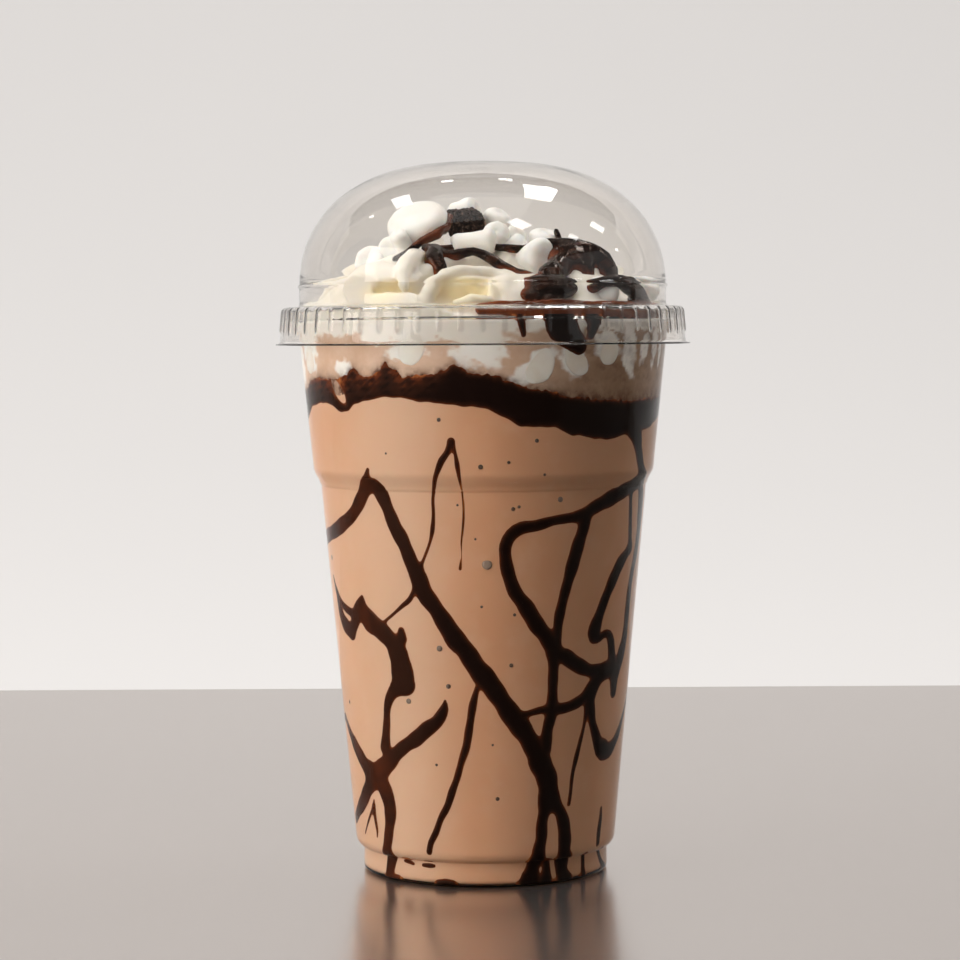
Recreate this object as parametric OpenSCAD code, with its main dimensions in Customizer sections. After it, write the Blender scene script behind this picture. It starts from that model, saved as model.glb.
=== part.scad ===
// Chocolate milkshake in a clear takeaway cup with a clear dome lid.
// Millimetres, +Z up, origin at the centre of the cup's foot, front of the drink towards -Y.

/* [Cup] */
// Height of the cup from its foot to the top of its rolled rim
cup_h = 138; // [132:1:144]
// Radius of the foot ring that the cup stands on
foot_r = 30.1; // [29:0.1:31]
// Height of the recessed foot ring
foot_h = 6; // [5:0.5:7]
// Radius of the cup's body just above the foot
body_low_r = 32.1; // [31.5:0.1:32.6]
// Height of the stacking step in the wall
step_z = 95; // [90:1:97]
// Radius of the wall under the stacking step
step_low_r = 40; // [39:0.1:41]
// Radius of the wall over the stacking step
step_high_r = 41.9; // [41.5:0.1:42.3]
// Radius of the wall where it meets the rolled rim
neck_r = 45.5; // [45.2:0.1:45.8]
// Outer radius of the rolled rim
rim_r = 48.2; // [47.8:0.1:48.4]
// Thickness of the cup's wall
cup_t = 0.6; // [0.4:0.1:0.8]
// Inner radius of the flat ring that the cup stands on
stand_r = 25; // [20:0.5:27]

/* [Lid] */
// Height of the dome over its flange
dome_h = 35.4; // [34:0.2:40]
// Outer radius of the dome at its base
dome_r = 45; // [44.8:0.1:45.4]
// Height of the straight collar under the dome
collar_h = 5.5; // [4:0.5:7]
// Outer radius of the flange and the top of the skirt
flange_r = 49.1; // [48.9:0.1:49.6]
// Height of the skirt that grips the rim
skirt_h = 9.3; // [8:0.1:10]
// Radius of the thin lip at the skirt's lower edge
lip_r = 51; // [50.6:0.1:51.4]
// Number of grip ribs round the skirt
rib_count = 62; // [30:1:70]
// Thickness of the lid's wall
lid_t = 0.5; // [0.4:0.1:0.7]

/* [Filling] */
// Height of the sauce band's lower edge at its middle
sauce_low_z = 112; // [110:1:113]
// Height of the sauce band's upper edge at its middle
sauce_high_z = 120; // [118:1:122]
// Height of the cream where it meets the wall
cream_edge_z = 136; // [134:0.5:136.5]

/* [Cream swirl] */
// Number of piped petals in the swirl
petal_count = 10; // [8:1:12]
// Turn of each petal from its foot to its tip, in degrees
petal_turn = 34; // [20:1:50]
// Turn of the whole swirl, in degrees
swirl_start = 252; // [230:1:280]

/* [Toppings] */
// Rounding of a marshmallow's edges
mallow_round = 1.8; // [1.2:0.1:2.2]
// Edge of the broken brownie cube
chunk_size = 8; // [6:0.5:9]
// Thickness of the sauce strands
strand_r = 1.7; // [1.2:0.1:2]

/* [Hidden] */
eps = 0.01;
floor_z = 1.2;
wall_sides = 48;
body_round_h = 3;
foot_round = 1;
step_rise = 4.5;
rim_tube_r = 1.45;
flange_z = cup_h + lid_t;
dome_steps = 14;
dome_power = 0.36;

// Heights of the sauce band's edges at the wall, every 15 degrees anticlockwise from the front.
band_low = [
    114.5, 110.5, 108, 107, 108.5, 111, 112, 110.5, 109, 110, 112, 112.5,
    111, 109.5, 109, 111, 112.5, 111.5, 112, 113.5, 114, 114.5, 117, 115.5
];
band_high = [
    122.5, 119, 116.5, 115.5, 115.5, 115.5, 117, 118, 117, 116.5, 118, 119,
    118, 117, 117.5, 119, 120.5, 119.5, 118, 119.5, 122, 124, 124.5, 122.5
];

// Marshmallows: [x, y, z, turn about x, turn about y, turn about z, diameter, length].
mallows = [
    [-15.5, -10, 159, 25, -18, 0, 14.5, 6],
    [-20.5, -16.5, 155, 30, -30, 0, 5.5, 6],
    [-22.5, -12, 153, 80, -60, 0, 7, 8],
    [-27.5, -12, 149.5, 60, -40, 0, 8, 8],
    [-5.5, 3, 162.5, 20, 70, 0, 7, 7.5],
    [4, -1, 160, 30, 25, 0, 7, 6.5],
    [3.5, -9, 156, 70, 15, 0, 7, 6],
    [-2, -14.5, 154.5, 10, 82, 0, 6.5, 12],
    [8, -4, 155.5, 50, 40, 0, 5.5, 5.5],
    [15, -5, 154.5, 20, 10, 0, 7.5, 7],
    [13, -16, 149.5, 60, 70, 0, 8.5, 11],
    [8, -10, 152.5, 10, 60, 0, 6, 6],
    [28, -26, 140.5, 60, 20, 0, 7.5, 8],
    [39, -8, 141.5, 20, 20, 0, 7, 7.5],
    [22, 16, 151, 50, 30, 0, 8, 7.5],
    [3, 20, 153.5, 75, 40, 0, 8, 8],
    [-14, 17, 154, 30, 60, 0, 8.5, 7.5],
    [-4, 32, 147, 60, 10, 0, 8, 8],
    [-27, 13, 148.5, 40, -50, 0, 8, 7.5],
    [12.5, -39, 124.5, 90, 0, 18, 8, 8.5],
    [20, -36, 126, 90, 0, 29, 7, 8],
    [27.5, -30.5, 128, 90, 0, 42, 7.5, 8],
    [-15.5, -38.5, 129, 90, 0, -22, 8, 8],
    [-38.5, -14, 126.5, 90, 0, -70, 7.5, 8]
];

// Sauce strands: rows of [x, y, z, thickness factor].
strands = [
    [
        [-18, -20, 149.5, 0.7], [-13.5, -21, 152.5, 0.9], [-11, -24, 150, 1.8], [-7, -23, 150.5, 1.1],
        [0, -21.5, 151.5, 1], [6, -25, 147.5, 1], [13, -30, 143.5, 1.7], [18, -31, 142.5, 2.5],
        [22, -31, 141.5, 2.2], [26, -29, 142, 1.4], [31, -25, 141.5, 2], [36, -20, 140, 1.7]
    ],
    [
        [-8, -13, 153, 0.8], [0, -14.5, 153.5, 0.8], [6, -15.5, 152.5, 0.9], [14, -17.5, 153, 1.2],
        [20, -19, 151, 2.2], [26, -19, 149.5, 2.6], [30, -19, 147, 2.4], [32, -21, 143, 2.2]
    ],
    [[16, -31, 142, 1.7], [15, -37, 138.5, 1.6], [15.5, -40.5, 132.5, 1.2]],
    [[22, -30, 141.5, 1.6], [24, -34, 138, 1.5], [24.5, -36, 133, 1.1]]
];

// Point at an angle from the front, a radius and a height.
function at(a, r, z) = [r * sin(a), -r * cos(a), z];

// Value at an angle from a closed list of evenly spaced values, eased between neighbours.
function round_value(values, a) =
    let (
        n = len(values),
        t = ((a % 360) + 360) % 360 / 360 * n,
        i = floor(t),
        e = (1 - cos(180 * (t - i))) / 2
    )
    values[i % n] * (1 - e) + values[(i + 1) % n] * e;

// Outer radius of the cup's wall at a height over its foot rounding.
function cup_r(z) =
    z < step_z
        ? body_low_r + (step_low_r - body_low_r) * (z - foot_h - body_round_h) / (step_z - foot_h - body_round_h)
        : z < step_z + step_rise
            ? step_low_r + (step_high_r - step_low_r) * (1 - cos(180 * (z - step_z) / step_rise)) / 2
            : step_high_r + (neck_r - step_high_r) * (z - step_z - step_rise) / (cup_h - 3 - step_z - step_rise);

// Outline of the cup below its rim, from its base up, moved inwards by t.
function cup_outline(t, base) = concat(
    [for (q = [0:30:90]) [foot_r - t - foot_round * (1 - sin(q)), base + foot_round * (1 - cos(q))]],
    [[foot_r - t, foot_h + t]],
    [for (q = [30:20:90]) [
        foot_r - t + (body_low_r - foot_r) * sin(q),
        foot_h + t + (body_round_h - t) * (1 - cos(q))
    ]],
    [for (z = [step_z - 0.5, step_z + 1.2, step_z + 2.2, step_z + 3.3, step_z + step_rise + 0.5])
        [cup_r(z) - t, z]],
    [[cup_r(cup_h - 3) - t, cup_h - 3]]
);

// Radius of the dome's outside at a height over the collar's top.
function dome_at(h) =
    let (s = h / (dome_h - collar_h))
    dome_r * pow(max(0, 1 - s * s), dome_power);

function dome_heights() = [for (i = [0:dome_steps]) (dome_h - collar_h) * sin(90 * i / dome_steps)];

// One ring of points for a loft, with its height and radius given for each angle.
function ring(radii, heights) = [
    for (i = [0:wall_sides - 1]) at(i * 360 / wall_sides, radii[i], heights[i])
];

function level_ring(r, z) = ring([for (i = [0:wall_sides - 1]) r], [for (i = [0:wall_sides - 1]) z]);

// Rings of a layer's surface, from the wall to near the middle.
function surface_rings(edge, middle_z) = [
    for (f = [1, 0.8, 0.5, 0.2]) ring(
        [for (i = [0:wall_sides - 1]) f * (cup_r(round_value(edge, i * 360 / wall_sides)) - cup_t)],
        [for (i = [0:wall_sides - 1])
            middle_z + (round_value(edge, i * 360 / wall_sides) - middle_z) * f * f]
    )
];

function reversed(list) = [for (i = [len(list) - 1:-1:0]) list[i]];

// Solid through rings of points stacked from its bottom middle to its top middle.
module loft(rings, low_z, high_z) {
    n = wall_sides;
    last = len(rings) - 1;
    points = concat([for (r = rings) each r], [[0, 0, low_z], [0, 0, high_z]]);
    low = len(points) - 2;
    polyhedron(points, concat(
        [for (i = [0:n - 1]) [low, i, (i + 1) % n]],
        [for (k = [0:last - 1], i = [0:n - 1]) each [
            [k * n + i, (k + 1) * n + i, (k + 1) * n + (i + 1) % n],
            [k * n + i, (k + 1) * n + (i + 1) % n, k * n + (i + 1) % n]
        ]],
        [for (i = [0:n - 1]) [low + 1, last * n + (i + 1) % n, last * n + i]]
    ));
}

// Thin-walled cup with a recessed foot, a stacking step and a rolled rim.
module cup() {
    outside = cup_outline(0, 0);
    inside = cup_outline(cup_t, floor_z);
    color([0.9, 0.93, 0.95, 0.35])
    rotate_extrude($fn = 144) {
        polygon(concat(
            [[0, floor_z - cup_t], [stand_r - 1, floor_z - cup_t], [stand_r, 0]],
            outside,
            reversed(inside),
            [[0, floor_z]]
        ));
        translate([rim_r - rim_tube_r, cup_h - rim_tube_r]) circle(rim_tube_r, $fn = 24);
        translate([cup_r(cup_h - 3) - cup_t, cup_h - 3 - eps]) square([cup_t, 3 - rim_tube_r]);
    }
}

// One grip rib: a small upright half-round bar on the skirt.
module rib() {
    translate([flange_r, 0, flange_z - skirt_h + 2.2]) cylinder(r = 0.75, h = skirt_h - 3.4, $fn = 16);
}

// Dome lid: dome, collar, flange, ribbed skirt and lip.
module lid() {
    heights = dome_heights();
    top = flange_z + collar_h;
    outside = [for (h = heights) [dome_at(h), top + h]];
    inside = [for (h = heights) [max(0, dome_at(h) - lid_t), top + h * (1 - lid_t / (dome_h - collar_h))]];
    color([0.92, 0.94, 0.96, 0.3]) {
        rotate_extrude($fn = 144) {
            polygon(concat(
                [[dome_r - lid_t, flange_z - lid_t], [dome_r + lid_t, flange_z - lid_t], [dome_r, flange_z]],
                outside,
                reversed(inside)
            ));
            translate([dome_r - lid_t + eps, flange_z - lid_t]) square([flange_r - dome_r + lid_t - eps, lid_t]);
            polygon([
                [flange_r - lid_t, flange_z - eps], [flange_r, flange_z - eps],
                [flange_r + 0.8, flange_z - skirt_h + lid_t], [lip_r, flange_z - skirt_h + lid_t],
                [lip_r, flange_z - skirt_h], [flange_r + 0.8 - lid_t, flange_z - skirt_h]
            ]);
        }
        difference() {
            for (i = [0:rib_count - 1]) rotate(i * 360 / rib_count) rib();
            cylinder(r = flange_r - 0.1, h = 2 * cup_h, $fn = 144);
        }
    }
}

// Shake: fills the cup up to the sauce band.
module shake() {
    wall = [for (p = cup_outline(cup_t, floor_z)) if (p[1] < step_z + step_rise + 1) level_ring(p[0], p[1])];
    color([0.74, 0.53, 0.4])
    loft(concat(wall, surface_rings(band_low, sauce_low_z)), floor_z, sauce_low_z);
}

// Sauce band: a layer between the shake and the cream.
module sauce_band() {
    color([0.16, 0.07, 0.04])
    loft(
        concat(reversed(surface_rings(band_low, sauce_low_z)), surface_rings(band_high, sauce_high_z)),
        sauce_low_z, sauce_high_z
    );
}

// Cream inside the cup, from the sauce band up to the rim.
module cream_fill() {
    edge_r = cup_r(cup_h - 3) - cup_t;
    loft(
        concat(
            reversed(surface_rings(band_high, sauce_high_z)),
            [level_ring(edge_r - 0.15, cup_h - 3.4), level_ring(edge_r - 2.5, cream_edge_z)],
            [level_ring(34, 140), level_ring(22, 146), level_ring(10, 149)]
        ),
        sauce_high_z, 150
    );
}

// One piped petal, leaning round the swirl as it climbs: [turn share, radius, height, thickness].
module petal(start, size) {
    path = [[0, 35.8, 136.6, 7.4], [0.25, 30.5, 141, 8.2], [0.6, 21.5, 144, 7.6], [1, 9, 148.5, 6.8]];
    for (i = [0:len(path) - 2]) hull() for (p = [path[i], path[i + 1]])
        translate(at(start + petal_turn * p[0], p[1], p[2])) sphere(size * p[3], $fn = 11);
}

// Petals are uneven in size.
module swirl() {
    for (i = [0:petal_count - 1])
        petal(swirl_start + i * 360 / petal_count + 4 * sin(i * 137), 1 + 0.06 * sin(i * 97 + 40));
}

module cream() {
    color([0.97, 0.94, 0.86])
    difference() {
        union() {
            cream_fill();
            swirl();
        }
        for (m = mallows) whole_marshmallow(m, 10, 0.1);
        brownie_chunk();
    }
}

// Small cylinder with rounded edges; sides and extra set how finely and how large it is made.
module whole_marshmallow(m, sides = 24, extra = 0) {
    r = m[6] / 2 + extra;
    h = m[7] / 2 + extra;
    e = min(mallow_round, 0.48 * r, 0.48 * h);
    translate([m[0], m[1], m[2]]) rotate([m[3], m[4], m[5]])
    rotate_extrude($fn = sides) {
        translate([0, -h]) square([r - e, 2 * h]);
        translate([0, e - h]) square([r, 2 * (h - e)]);
        for (s = [-1, 1]) translate([r - e, s * (h - e)]) circle(e, $fn = sides);
    }
}

// A marshmallow pressed to the cup's wall is flattened by it.
module marshmallow(m) {
    color([0.97, 0.93, 0.89])
    if (m[2] > cup_h - 5) whole_marshmallow(m);
    else intersection() {
        whole_marshmallow(m);
        translate([0, 0, step_z + step_rise]) cylinder(
            r1 = cup_r(step_z + step_rise) - cup_t,
            r2 = cup_r(cup_h - 3) - cup_t,
            h = cup_h - 3 - step_z - step_rise, $fn = 144
        );
    }
}

// Broken cube with one corner gone.
module brownie_chunk() {
    color([0.17, 0.1, 0.08])
    translate([-4, -5, 159]) rotate([8, -6, 14]) difference() {
        cube([chunk_size * 1.1, chunk_size * 0.8, chunk_size * 0.85], center = true);
        translate([chunk_size * 0.62, 0, chunk_size * 0.5]) rotate([0, 40, 20])
            cube(chunk_size * 0.6, center = true);
    }
}

// Thick sauce that runs over the cream and the marshmallows and sinks a little into them.
module chocolate_sauce() {
    color([0.14, 0.06, 0.03])
    for (strand = strands, i = [0:len(strand) - 2]) hull() for (p = [strand[i], strand[i + 1]])
        translate([p[0], p[1], p[2]]) sphere(strand_r * p[3], $fn = 9);
}

cup();
lid();
shake();
sauce_band();
cream();
brownie_chunk();
chocolate_sauce();
for (i = [0:len(mallows) - 1])
    marshmallow(mallows[i]);
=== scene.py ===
"""Chocolate milkshake in a clear cup with a dome lid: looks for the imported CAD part."""

import math

import bpy
import numpy as np
from mathutils import Euler, Matrix, Vector, noise


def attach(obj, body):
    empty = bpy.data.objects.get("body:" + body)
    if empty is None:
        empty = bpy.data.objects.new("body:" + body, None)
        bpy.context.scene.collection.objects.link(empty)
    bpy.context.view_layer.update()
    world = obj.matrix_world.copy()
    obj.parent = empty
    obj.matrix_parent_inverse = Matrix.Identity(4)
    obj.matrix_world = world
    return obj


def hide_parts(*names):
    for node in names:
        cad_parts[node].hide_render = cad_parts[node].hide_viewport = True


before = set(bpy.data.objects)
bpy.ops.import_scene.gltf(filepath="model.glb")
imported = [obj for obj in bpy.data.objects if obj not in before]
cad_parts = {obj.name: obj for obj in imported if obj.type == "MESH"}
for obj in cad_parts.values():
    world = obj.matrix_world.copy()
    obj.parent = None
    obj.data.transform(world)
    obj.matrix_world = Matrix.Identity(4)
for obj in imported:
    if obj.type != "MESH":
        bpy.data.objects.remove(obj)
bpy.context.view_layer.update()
MM = 0.001
PI = math.pi


# ---------------------------------------------------------------- camera and common helpers


def look_at(obj, target):
    obj.rotation_euler = (Vector(target) - obj.location).to_track_quat("-Z", "Y").to_euler()


def camera(at, down, roll):
    """Long lens in front of the cup; down and roll in degrees."""
    data = bpy.data.cameras.new("camera")
    data.lens = 105
    data.sensor_width = 36
    data.clip_start = 0.02
    obj = bpy.data.objects.new("camera", data)
    bpy.context.scene.collection.objects.link(obj)
    obj.location = at
    obj.rotation_euler = Euler((math.radians(90 - down), math.radians(roll), 0), "XYZ")
    bpy.context.scene.camera = obj


camera((-0.0007, -0.690, 0.1315), down=2.96, roll=0.3)


def area(name, at, target, size, power, colour=(1, 1, 1)):
    """Soft rectangular lamp; place and size in metres."""
    data = bpy.data.lights.new(name, "AREA")
    data.shape = "RECTANGLE"
    data.size, data.size_y = size
    data.energy = power
    data.color = colour
    obj = bpy.data.objects.new(name, data)
    bpy.context.scene.collection.objects.link(obj)
    obj.location = at
    look_at(obj, target)
    return obj


def volume(verts, faces):
    """Signed volume of a closed mesh: negative when its faces look inwards."""
    fans = np.array([(f[0], f[k], f[k + 1]) for f in faces for k in range(1, len(f) - 1)])
    a, b, c = verts[fans[:, 0]], verts[fans[:, 1]], verts[fans[:, 2]]
    return float((a * np.cross(b, c)).sum() / 6)


def mesh_object(name, verts, faces, material, smooth=True):
    """Mesh in metres; a closed one gets its faces turned outwards."""
    mesh = bpy.data.meshes.new(name)
    verts = np.asarray(verts, dtype=np.float64)
    faces = [list(map(int, f)) for f in faces]
    if len(faces) > 1 and volume(verts, faces) < 0:
        faces = [f[::-1] for f in faces]
    mesh.from_pydata(verts.tolist(), [], faces)
    mesh.validate()
    if smooth:
        mesh.shade_smooth()
    obj = bpy.data.objects.new(name, mesh)
    bpy.context.scene.collection.objects.link(obj)
    mesh.materials.append(material)
    return obj


def places(obj):
    """Vertices of a mesh object, in mm."""
    return np.array([v.co[:] for v in obj.data.vertices]) / MM


def paint(obj, name, values):
    """One number per vertex, which the piece's material reads."""
    layer = obj.data.attributes.new(name, "FLOAT", "POINT")
    layer.data.foreach_set("value", np.asarray(values, dtype=np.float32))


def turned(radius, angles, z):
    """Points at angles in radians from the front, one row each."""
    return np.stack([radius * np.sin(angles), -radius * np.cos(angles), z + 0 * angles], 1)


def around(angle, radius, z):
    """Point on a circle, at an angle in degrees from the front towards the right."""
    a = math.radians(angle)
    return radius * math.sin(a), -radius * math.cos(a), z


def piece(obj, slot, *nodes):
    """Attach an object to the root and hide the CAD nodes it stands for; slot is not used."""
    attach(obj, "root")
    if nodes:
        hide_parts(*nodes)
    return obj


# ---------------------------------------------------------------- material helpers


class Nodes:
    """Short way to build a node tree."""

    def __init__(self, name):
        self.mat = bpy.data.materials.new(name)
        self.mat.use_nodes = True
        self.tree = self.mat.node_tree
        self.bsdf = self.tree.nodes["Principled BSDF"]
        self.out = self.tree.nodes["Material Output"]

    def add(self, kind, inputs=None, **props):
        node = self.tree.nodes.new(kind)
        for key, value in props.items():
            setattr(node, key, value)
        for key, value in (inputs or {}).items():
            self.put(node, key, value)
        return node

    def put(self, node, key, value):
        socket = node.inputs[key]
        if isinstance(value, bpy.types.NodeSocket):
            self.tree.links.new(value, socket)
        else:
            socket.default_value = value

    def set(self, **values):
        for key, value in values.items():
            self.put(self.bsdf, key.replace("_", " "), value)
        return self

    def coords(self):
        return self.add("ShaderNodeTexCoord").outputs["Object"]

    def noise(self, scale, detail=3, rough=0.5):
        values = {"Scale": scale, "Detail": detail, "Roughness": rough, "Vector": self.coords()}
        return self.add("ShaderNodeTexNoise", values).outputs["Fac"]

    def attribute(self, name):
        return self.add("ShaderNodeAttribute", attribute_name=name).outputs["Fac"]

    def across(self, start, end):
        """0 to 1 from left to right, between two values of X in metres."""
        x = self.add("ShaderNodeSeparateXYZ", {"Vector": self.coords()}).outputs["X"]
        limits = {"Value": x, "From Min": start, "From Max": end}
        return self.add("ShaderNodeMapRange", limits).outputs["Result"]

    def ramp(self, fac, *stops):
        """Eased colours or grey levels between (place, colour) stops."""
        node = self.add("ShaderNodeValToRGB", {"Fac": fac})
        node.color_ramp.interpolation = "EASE"
        while len(node.color_ramp.elements) < len(stops):
            node.color_ramp.elements.new(0.5)
        for element, (at, colour) in zip(node.color_ramp.elements, stops):
            element.position = at
            element.color = colour if isinstance(colour, tuple) else (colour, colour, colour, 1)
        return node.outputs["Color"]

    def mix(self, fac, a, b):
        node = self.add("ShaderNodeMix", data_type="RGBA")
        self.put(node, 0, fac)
        self.put(node, 6, a)
        self.put(node, 7, b)
        return node.outputs[2]

    def math(self, op, a, b=0.0):
        node = self.add("ShaderNodeMath", operation=op)
        self.put(node, 0, a)
        self.put(node, 1, b)
        return node.outputs[0]

    def bump(self, height, strength, distance, normal=None):
        node = self.add("ShaderNodeBump", {"Height": height, "Strength": strength, "Distance": distance})
        if normal:
            self.put(node, "Normal", normal)
        return node.outputs["Normal"]


def clear_plastic(name, tint, ior, roughness, wave):
    """Clear plastic that lets light through to what it holds; the ribs' outer faces are tinted greyer."""
    m = Nodes(name)
    wavy = m.noise(60, 2)
    fine = m.noise(900, 2)
    colour = m.mix(m.attribute("rib"), tint, (0.70, 0.67, 0.64, 1))
    m.set(Base_Color=colour, Roughness=roughness, IOR=ior, Transmission_Weight=1.0,
          Normal=m.bump(fine, 0.02, 0.0001, m.bump(wavy, wave, 0.002)))
    clear = m.add("ShaderNodeBsdfTransparent", {"Color": (0.96, 0.96, 0.96, 1)})
    path = m.add("ShaderNodeLightPath")
    mixer = m.add("ShaderNodeMixShader")
    m.put(mixer, 0, path.outputs["Is Shadow Ray"])
    m.put(mixer, 1, m.bsdf.outputs[0])
    m.put(mixer, 2, clear.outputs[0])
    m.put(m.out, "Surface", mixer.outputs[0])
    return m.mat


def shake_material():
    """Light brown drink, with painted light left of the middle and painted shade at the right."""
    m = Nodes("shake_look")
    big = m.noise(22, 3, 0.55)
    small = m.noise(160, 4, 0.6)
    cocoa, pale = (0.64, 0.325, 0.175, 1), (0.70, 0.375, 0.215, 1)
    froth, painted_light_left, painted_shade_right = (0.70, 0.42, 0.27, 1), (0.72, 0.50, 0.35, 1), (0.46, 0.25, 0.145, 1)
    colour = m.mix(m.ramp(big, (0.3, 0.0), (0.7, 1.0)), cocoa, pale)
    colour = m.mix(m.ramp(small, (0.45, 0.0), (0.75, 0.35)), colour, froth)
    uneven = m.math("MULTIPLY", m.math("SUBTRACT", big, 0.5), 0.12)
    place = m.math("ADD", m.across(-0.042, 0.042), uneven)
    # painted light on the left and painted shade on the right, placed by the position across the cup
    colour = m.mix(m.ramp(place, (0.0, 0.15), (0.25, 0.62), (0.5, 0.0)), colour, painted_light_left)
    colour = m.mix(m.ramp(place, (0.5, 0.0), (0.95, 0.4)), colour, painted_shade_right)
    pits = m.noise(1500, 2, 0.5)
    m.set(Base_Color=colour, Roughness=0.55, Subsurface_Weight=0.25, Subsurface_Scale=0.002,
          Subsurface_Radius=(1.0, 0.5, 0.3), Specular_IOR_Level=0.1,
          Normal=m.bump(pits, 0.05, 0.0002))
    return m.mat


def sauce_material(name, roughness, shine, edge_colour):
    """Nearly black chocolate sauce, redder and lighter where it is thin."""
    m = Nodes(name)
    thin = m.attribute("thin")
    blot = m.noise(120, 4, 0.6)
    edge = m.math("MULTIPLY", thin, m.ramp(blot, (0.3, 0.7), (0.7, 1.0)))
    thick, middle, reddish = (0.010, 0.0042, 0.003, 1), (0.030, 0.010, 0.005, 1), (0.11, 0.024, 0.008, 1)
    colour = m.ramp(edge, (0.0, thick), (0.3, middle), (0.65, reddish), (1.0, edge_colour))
    m.set(Base_Color=colour, Roughness=roughness, IOR=1.5, Specular_IOR_Level=shine,
          Specular_Tint=(1.0, 0.78, 0.66, 1), Normal=m.bump(m.noise(260, 2), 0.08, 0.0004))
    return m.mat


def cream_material():
    """Whipped cream, with a painted warm shade in its hollows."""
    m = Nodes("cream_look")
    shade, light, hollow_shade_tint = (0.80, 0.74, 0.64, 1), (0.86, 0.81, 0.72, 1), (0.98, 0.84, 0.56, 1)
    colour = m.mix(m.ramp(m.noise(90, 3), (0.3, 0.0), (0.7, 0.5)), shade, light)
    colour = m.mix(m.attribute("hollow"), colour, hollow_shade_tint)
    m.set(Base_Color=colour, Roughness=0.42, Subsurface_Weight=0.35, Subsurface_Scale=0.004,
          Subsurface_Radius=(1.0, 0.8, 0.5), Specular_IOR_Level=0.4,
          Normal=m.bump(m.noise(700, 3), 0.06, 0.0003, m.bump(m.noise(120, 2), 0.1, 0.001)))
    return m.mat


def milk_material():
    """The melted zone at the wall: milky brown with white cream, sauce just above the band, and painted shade
    towards the right, both in its browns and in sauce-coloured clouds.
    """
    m = Nodes("milk_look")
    brown, tan = (0.64, 0.415, 0.28, 1), (0.75, 0.54, 0.40, 1)
    painted_shade_brown, painted_shade_tan = (0.22, 0.11, 0.06, 1), (0.55, 0.36, 0.225, 1)
    cream, sauce = (0.93, 0.87, 0.79, 1), (0.09, 0.028, 0.011, 1)
    cloud = m.noise(110, 4, 0.6)
    colour = m.mix(m.ramp(cloud, (0.3, 0.0), (0.7, 1.0)), brown, tan)
    # painted shade: darker browns towards the right
    colour = m.mix(m.across(0.006, 0.030), colour, m.mix(cloud, painted_shade_brown, painted_shade_tan))
    frayed = m.math("MULTIPLY", m.math("SUBTRACT", m.noise(330, 4, 0.62), 0.5), 0.9)
    patchy = m.math("ADD", m.attribute("white"), frayed)
    colour = m.mix(m.ramp(patchy, (0.15, 0.0), (0.85, 1.0)), colour, cream)
    # sauce-coloured clouds from the dark attribute: real sauce just above the band, and painted shade in
    # patches towards the right
    spots = m.ramp(m.noise(420, 4, 0.65), (0.3, 0.4), (0.62, 1.0))
    colour = m.mix(m.math("MULTIPLY", m.attribute("dark"), spots), colour, sauce)
    m.set(Base_Color=colour, Roughness=0.5, Subsurface_Weight=0.25, Subsurface_Scale=0.002,
          Subsurface_Radius=(1.0, 0.7, 0.5), Specular_IOR_Level=0.15,
          Normal=m.bump(m.noise(500, 3), 0.1, 0.0004))
    return m.mat


def marshmallow_material(name, shade, light):
    """Soft powdery sugar between two colours."""
    m = Nodes(name)
    powder = m.noise(1800, 4, 0.7)
    soft = m.noise(140, 3)
    colour = m.mix(m.ramp(soft, (0.35, 0.0), (0.65, 1.0)), shade, light)
    m.set(Base_Color=colour, Roughness=0.85, Subsurface_Weight=0.5, Subsurface_Scale=0.003,
          Subsurface_Radius=(1.0, 0.75, 0.6), Sheen_Weight=0.2,
          Normal=m.bump(powder, 0.25, 0.0002, m.bump(m.noise(350, 3), 0.25, 0.0006)))
    return m.mat


def brownie_material():
    """Dark grainy crumb with a few lighter grains."""
    m = Nodes("brownie_look")
    grain = m.noise(1100, 5, 0.7)
    pore, crumb, fleck = (0.008, 0.005, 0.004, 1), (0.045, 0.026, 0.019, 1), (0.24, 0.16, 0.12, 1)
    colour = m.ramp(grain, (0.35, pore), (0.54, crumb), (0.68, fleck))
    m.set(Base_Color=colour, Roughness=0.8, Specular_IOR_Level=0.1, Normal=m.bump(grain, 0.9, 0.0008))
    return m.mat


def bubble_material():
    """Grey-brown bubbles; the small specks are darker."""
    m = Nodes("bubble_look")
    grey = m.mix(m.noise(500, 2), (0.25, 0.17, 0.12, 1), (0.38, 0.28, 0.21, 1))
    colour = m.mix(m.attribute("dark"), grey, (0.035, 0.016, 0.009, 1))
    m.set(Base_Color=colour, Roughness=0.3, Normal=m.bump(m.noise(900, 2), 0.1, 0.0002))
    return m.mat


CLEAR_CUP = clear_plastic("clear_cup_look", (0.985, 0.983, 0.978, 1), 1.15, 0.03, 0.03)
CLEAR_LID = clear_plastic("clear_lid_look", (0.93, 0.912, 0.888, 1), 1.45, 0.015, 0.03)
SHAKE = shake_material()
SAUCE = sauce_material("sauce_look", 0.1, 0.3, (0.24, 0.058, 0.017, 1))
WALL_SAUCE = sauce_material("wall_sauce_look", 0.35, 0.05, (0.42, 0.13, 0.038, 1))
CREAM = cream_material()
MILK = milk_material()
MALLOW = marshmallow_material("marshmallow_look", (0.92, 0.87, 0.81, 1), (0.97, 0.95, 0.91, 1))
WET_MALLOW = marshmallow_material("wet_marshmallow_look", (0.86, 0.74, 0.61, 1), (0.92, 0.84, 0.74, 1))
BROWNIE = brownie_material()
BUBBLE = bubble_material()


# ---------------------------------------------------------------- shapes turned on the axis

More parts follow.
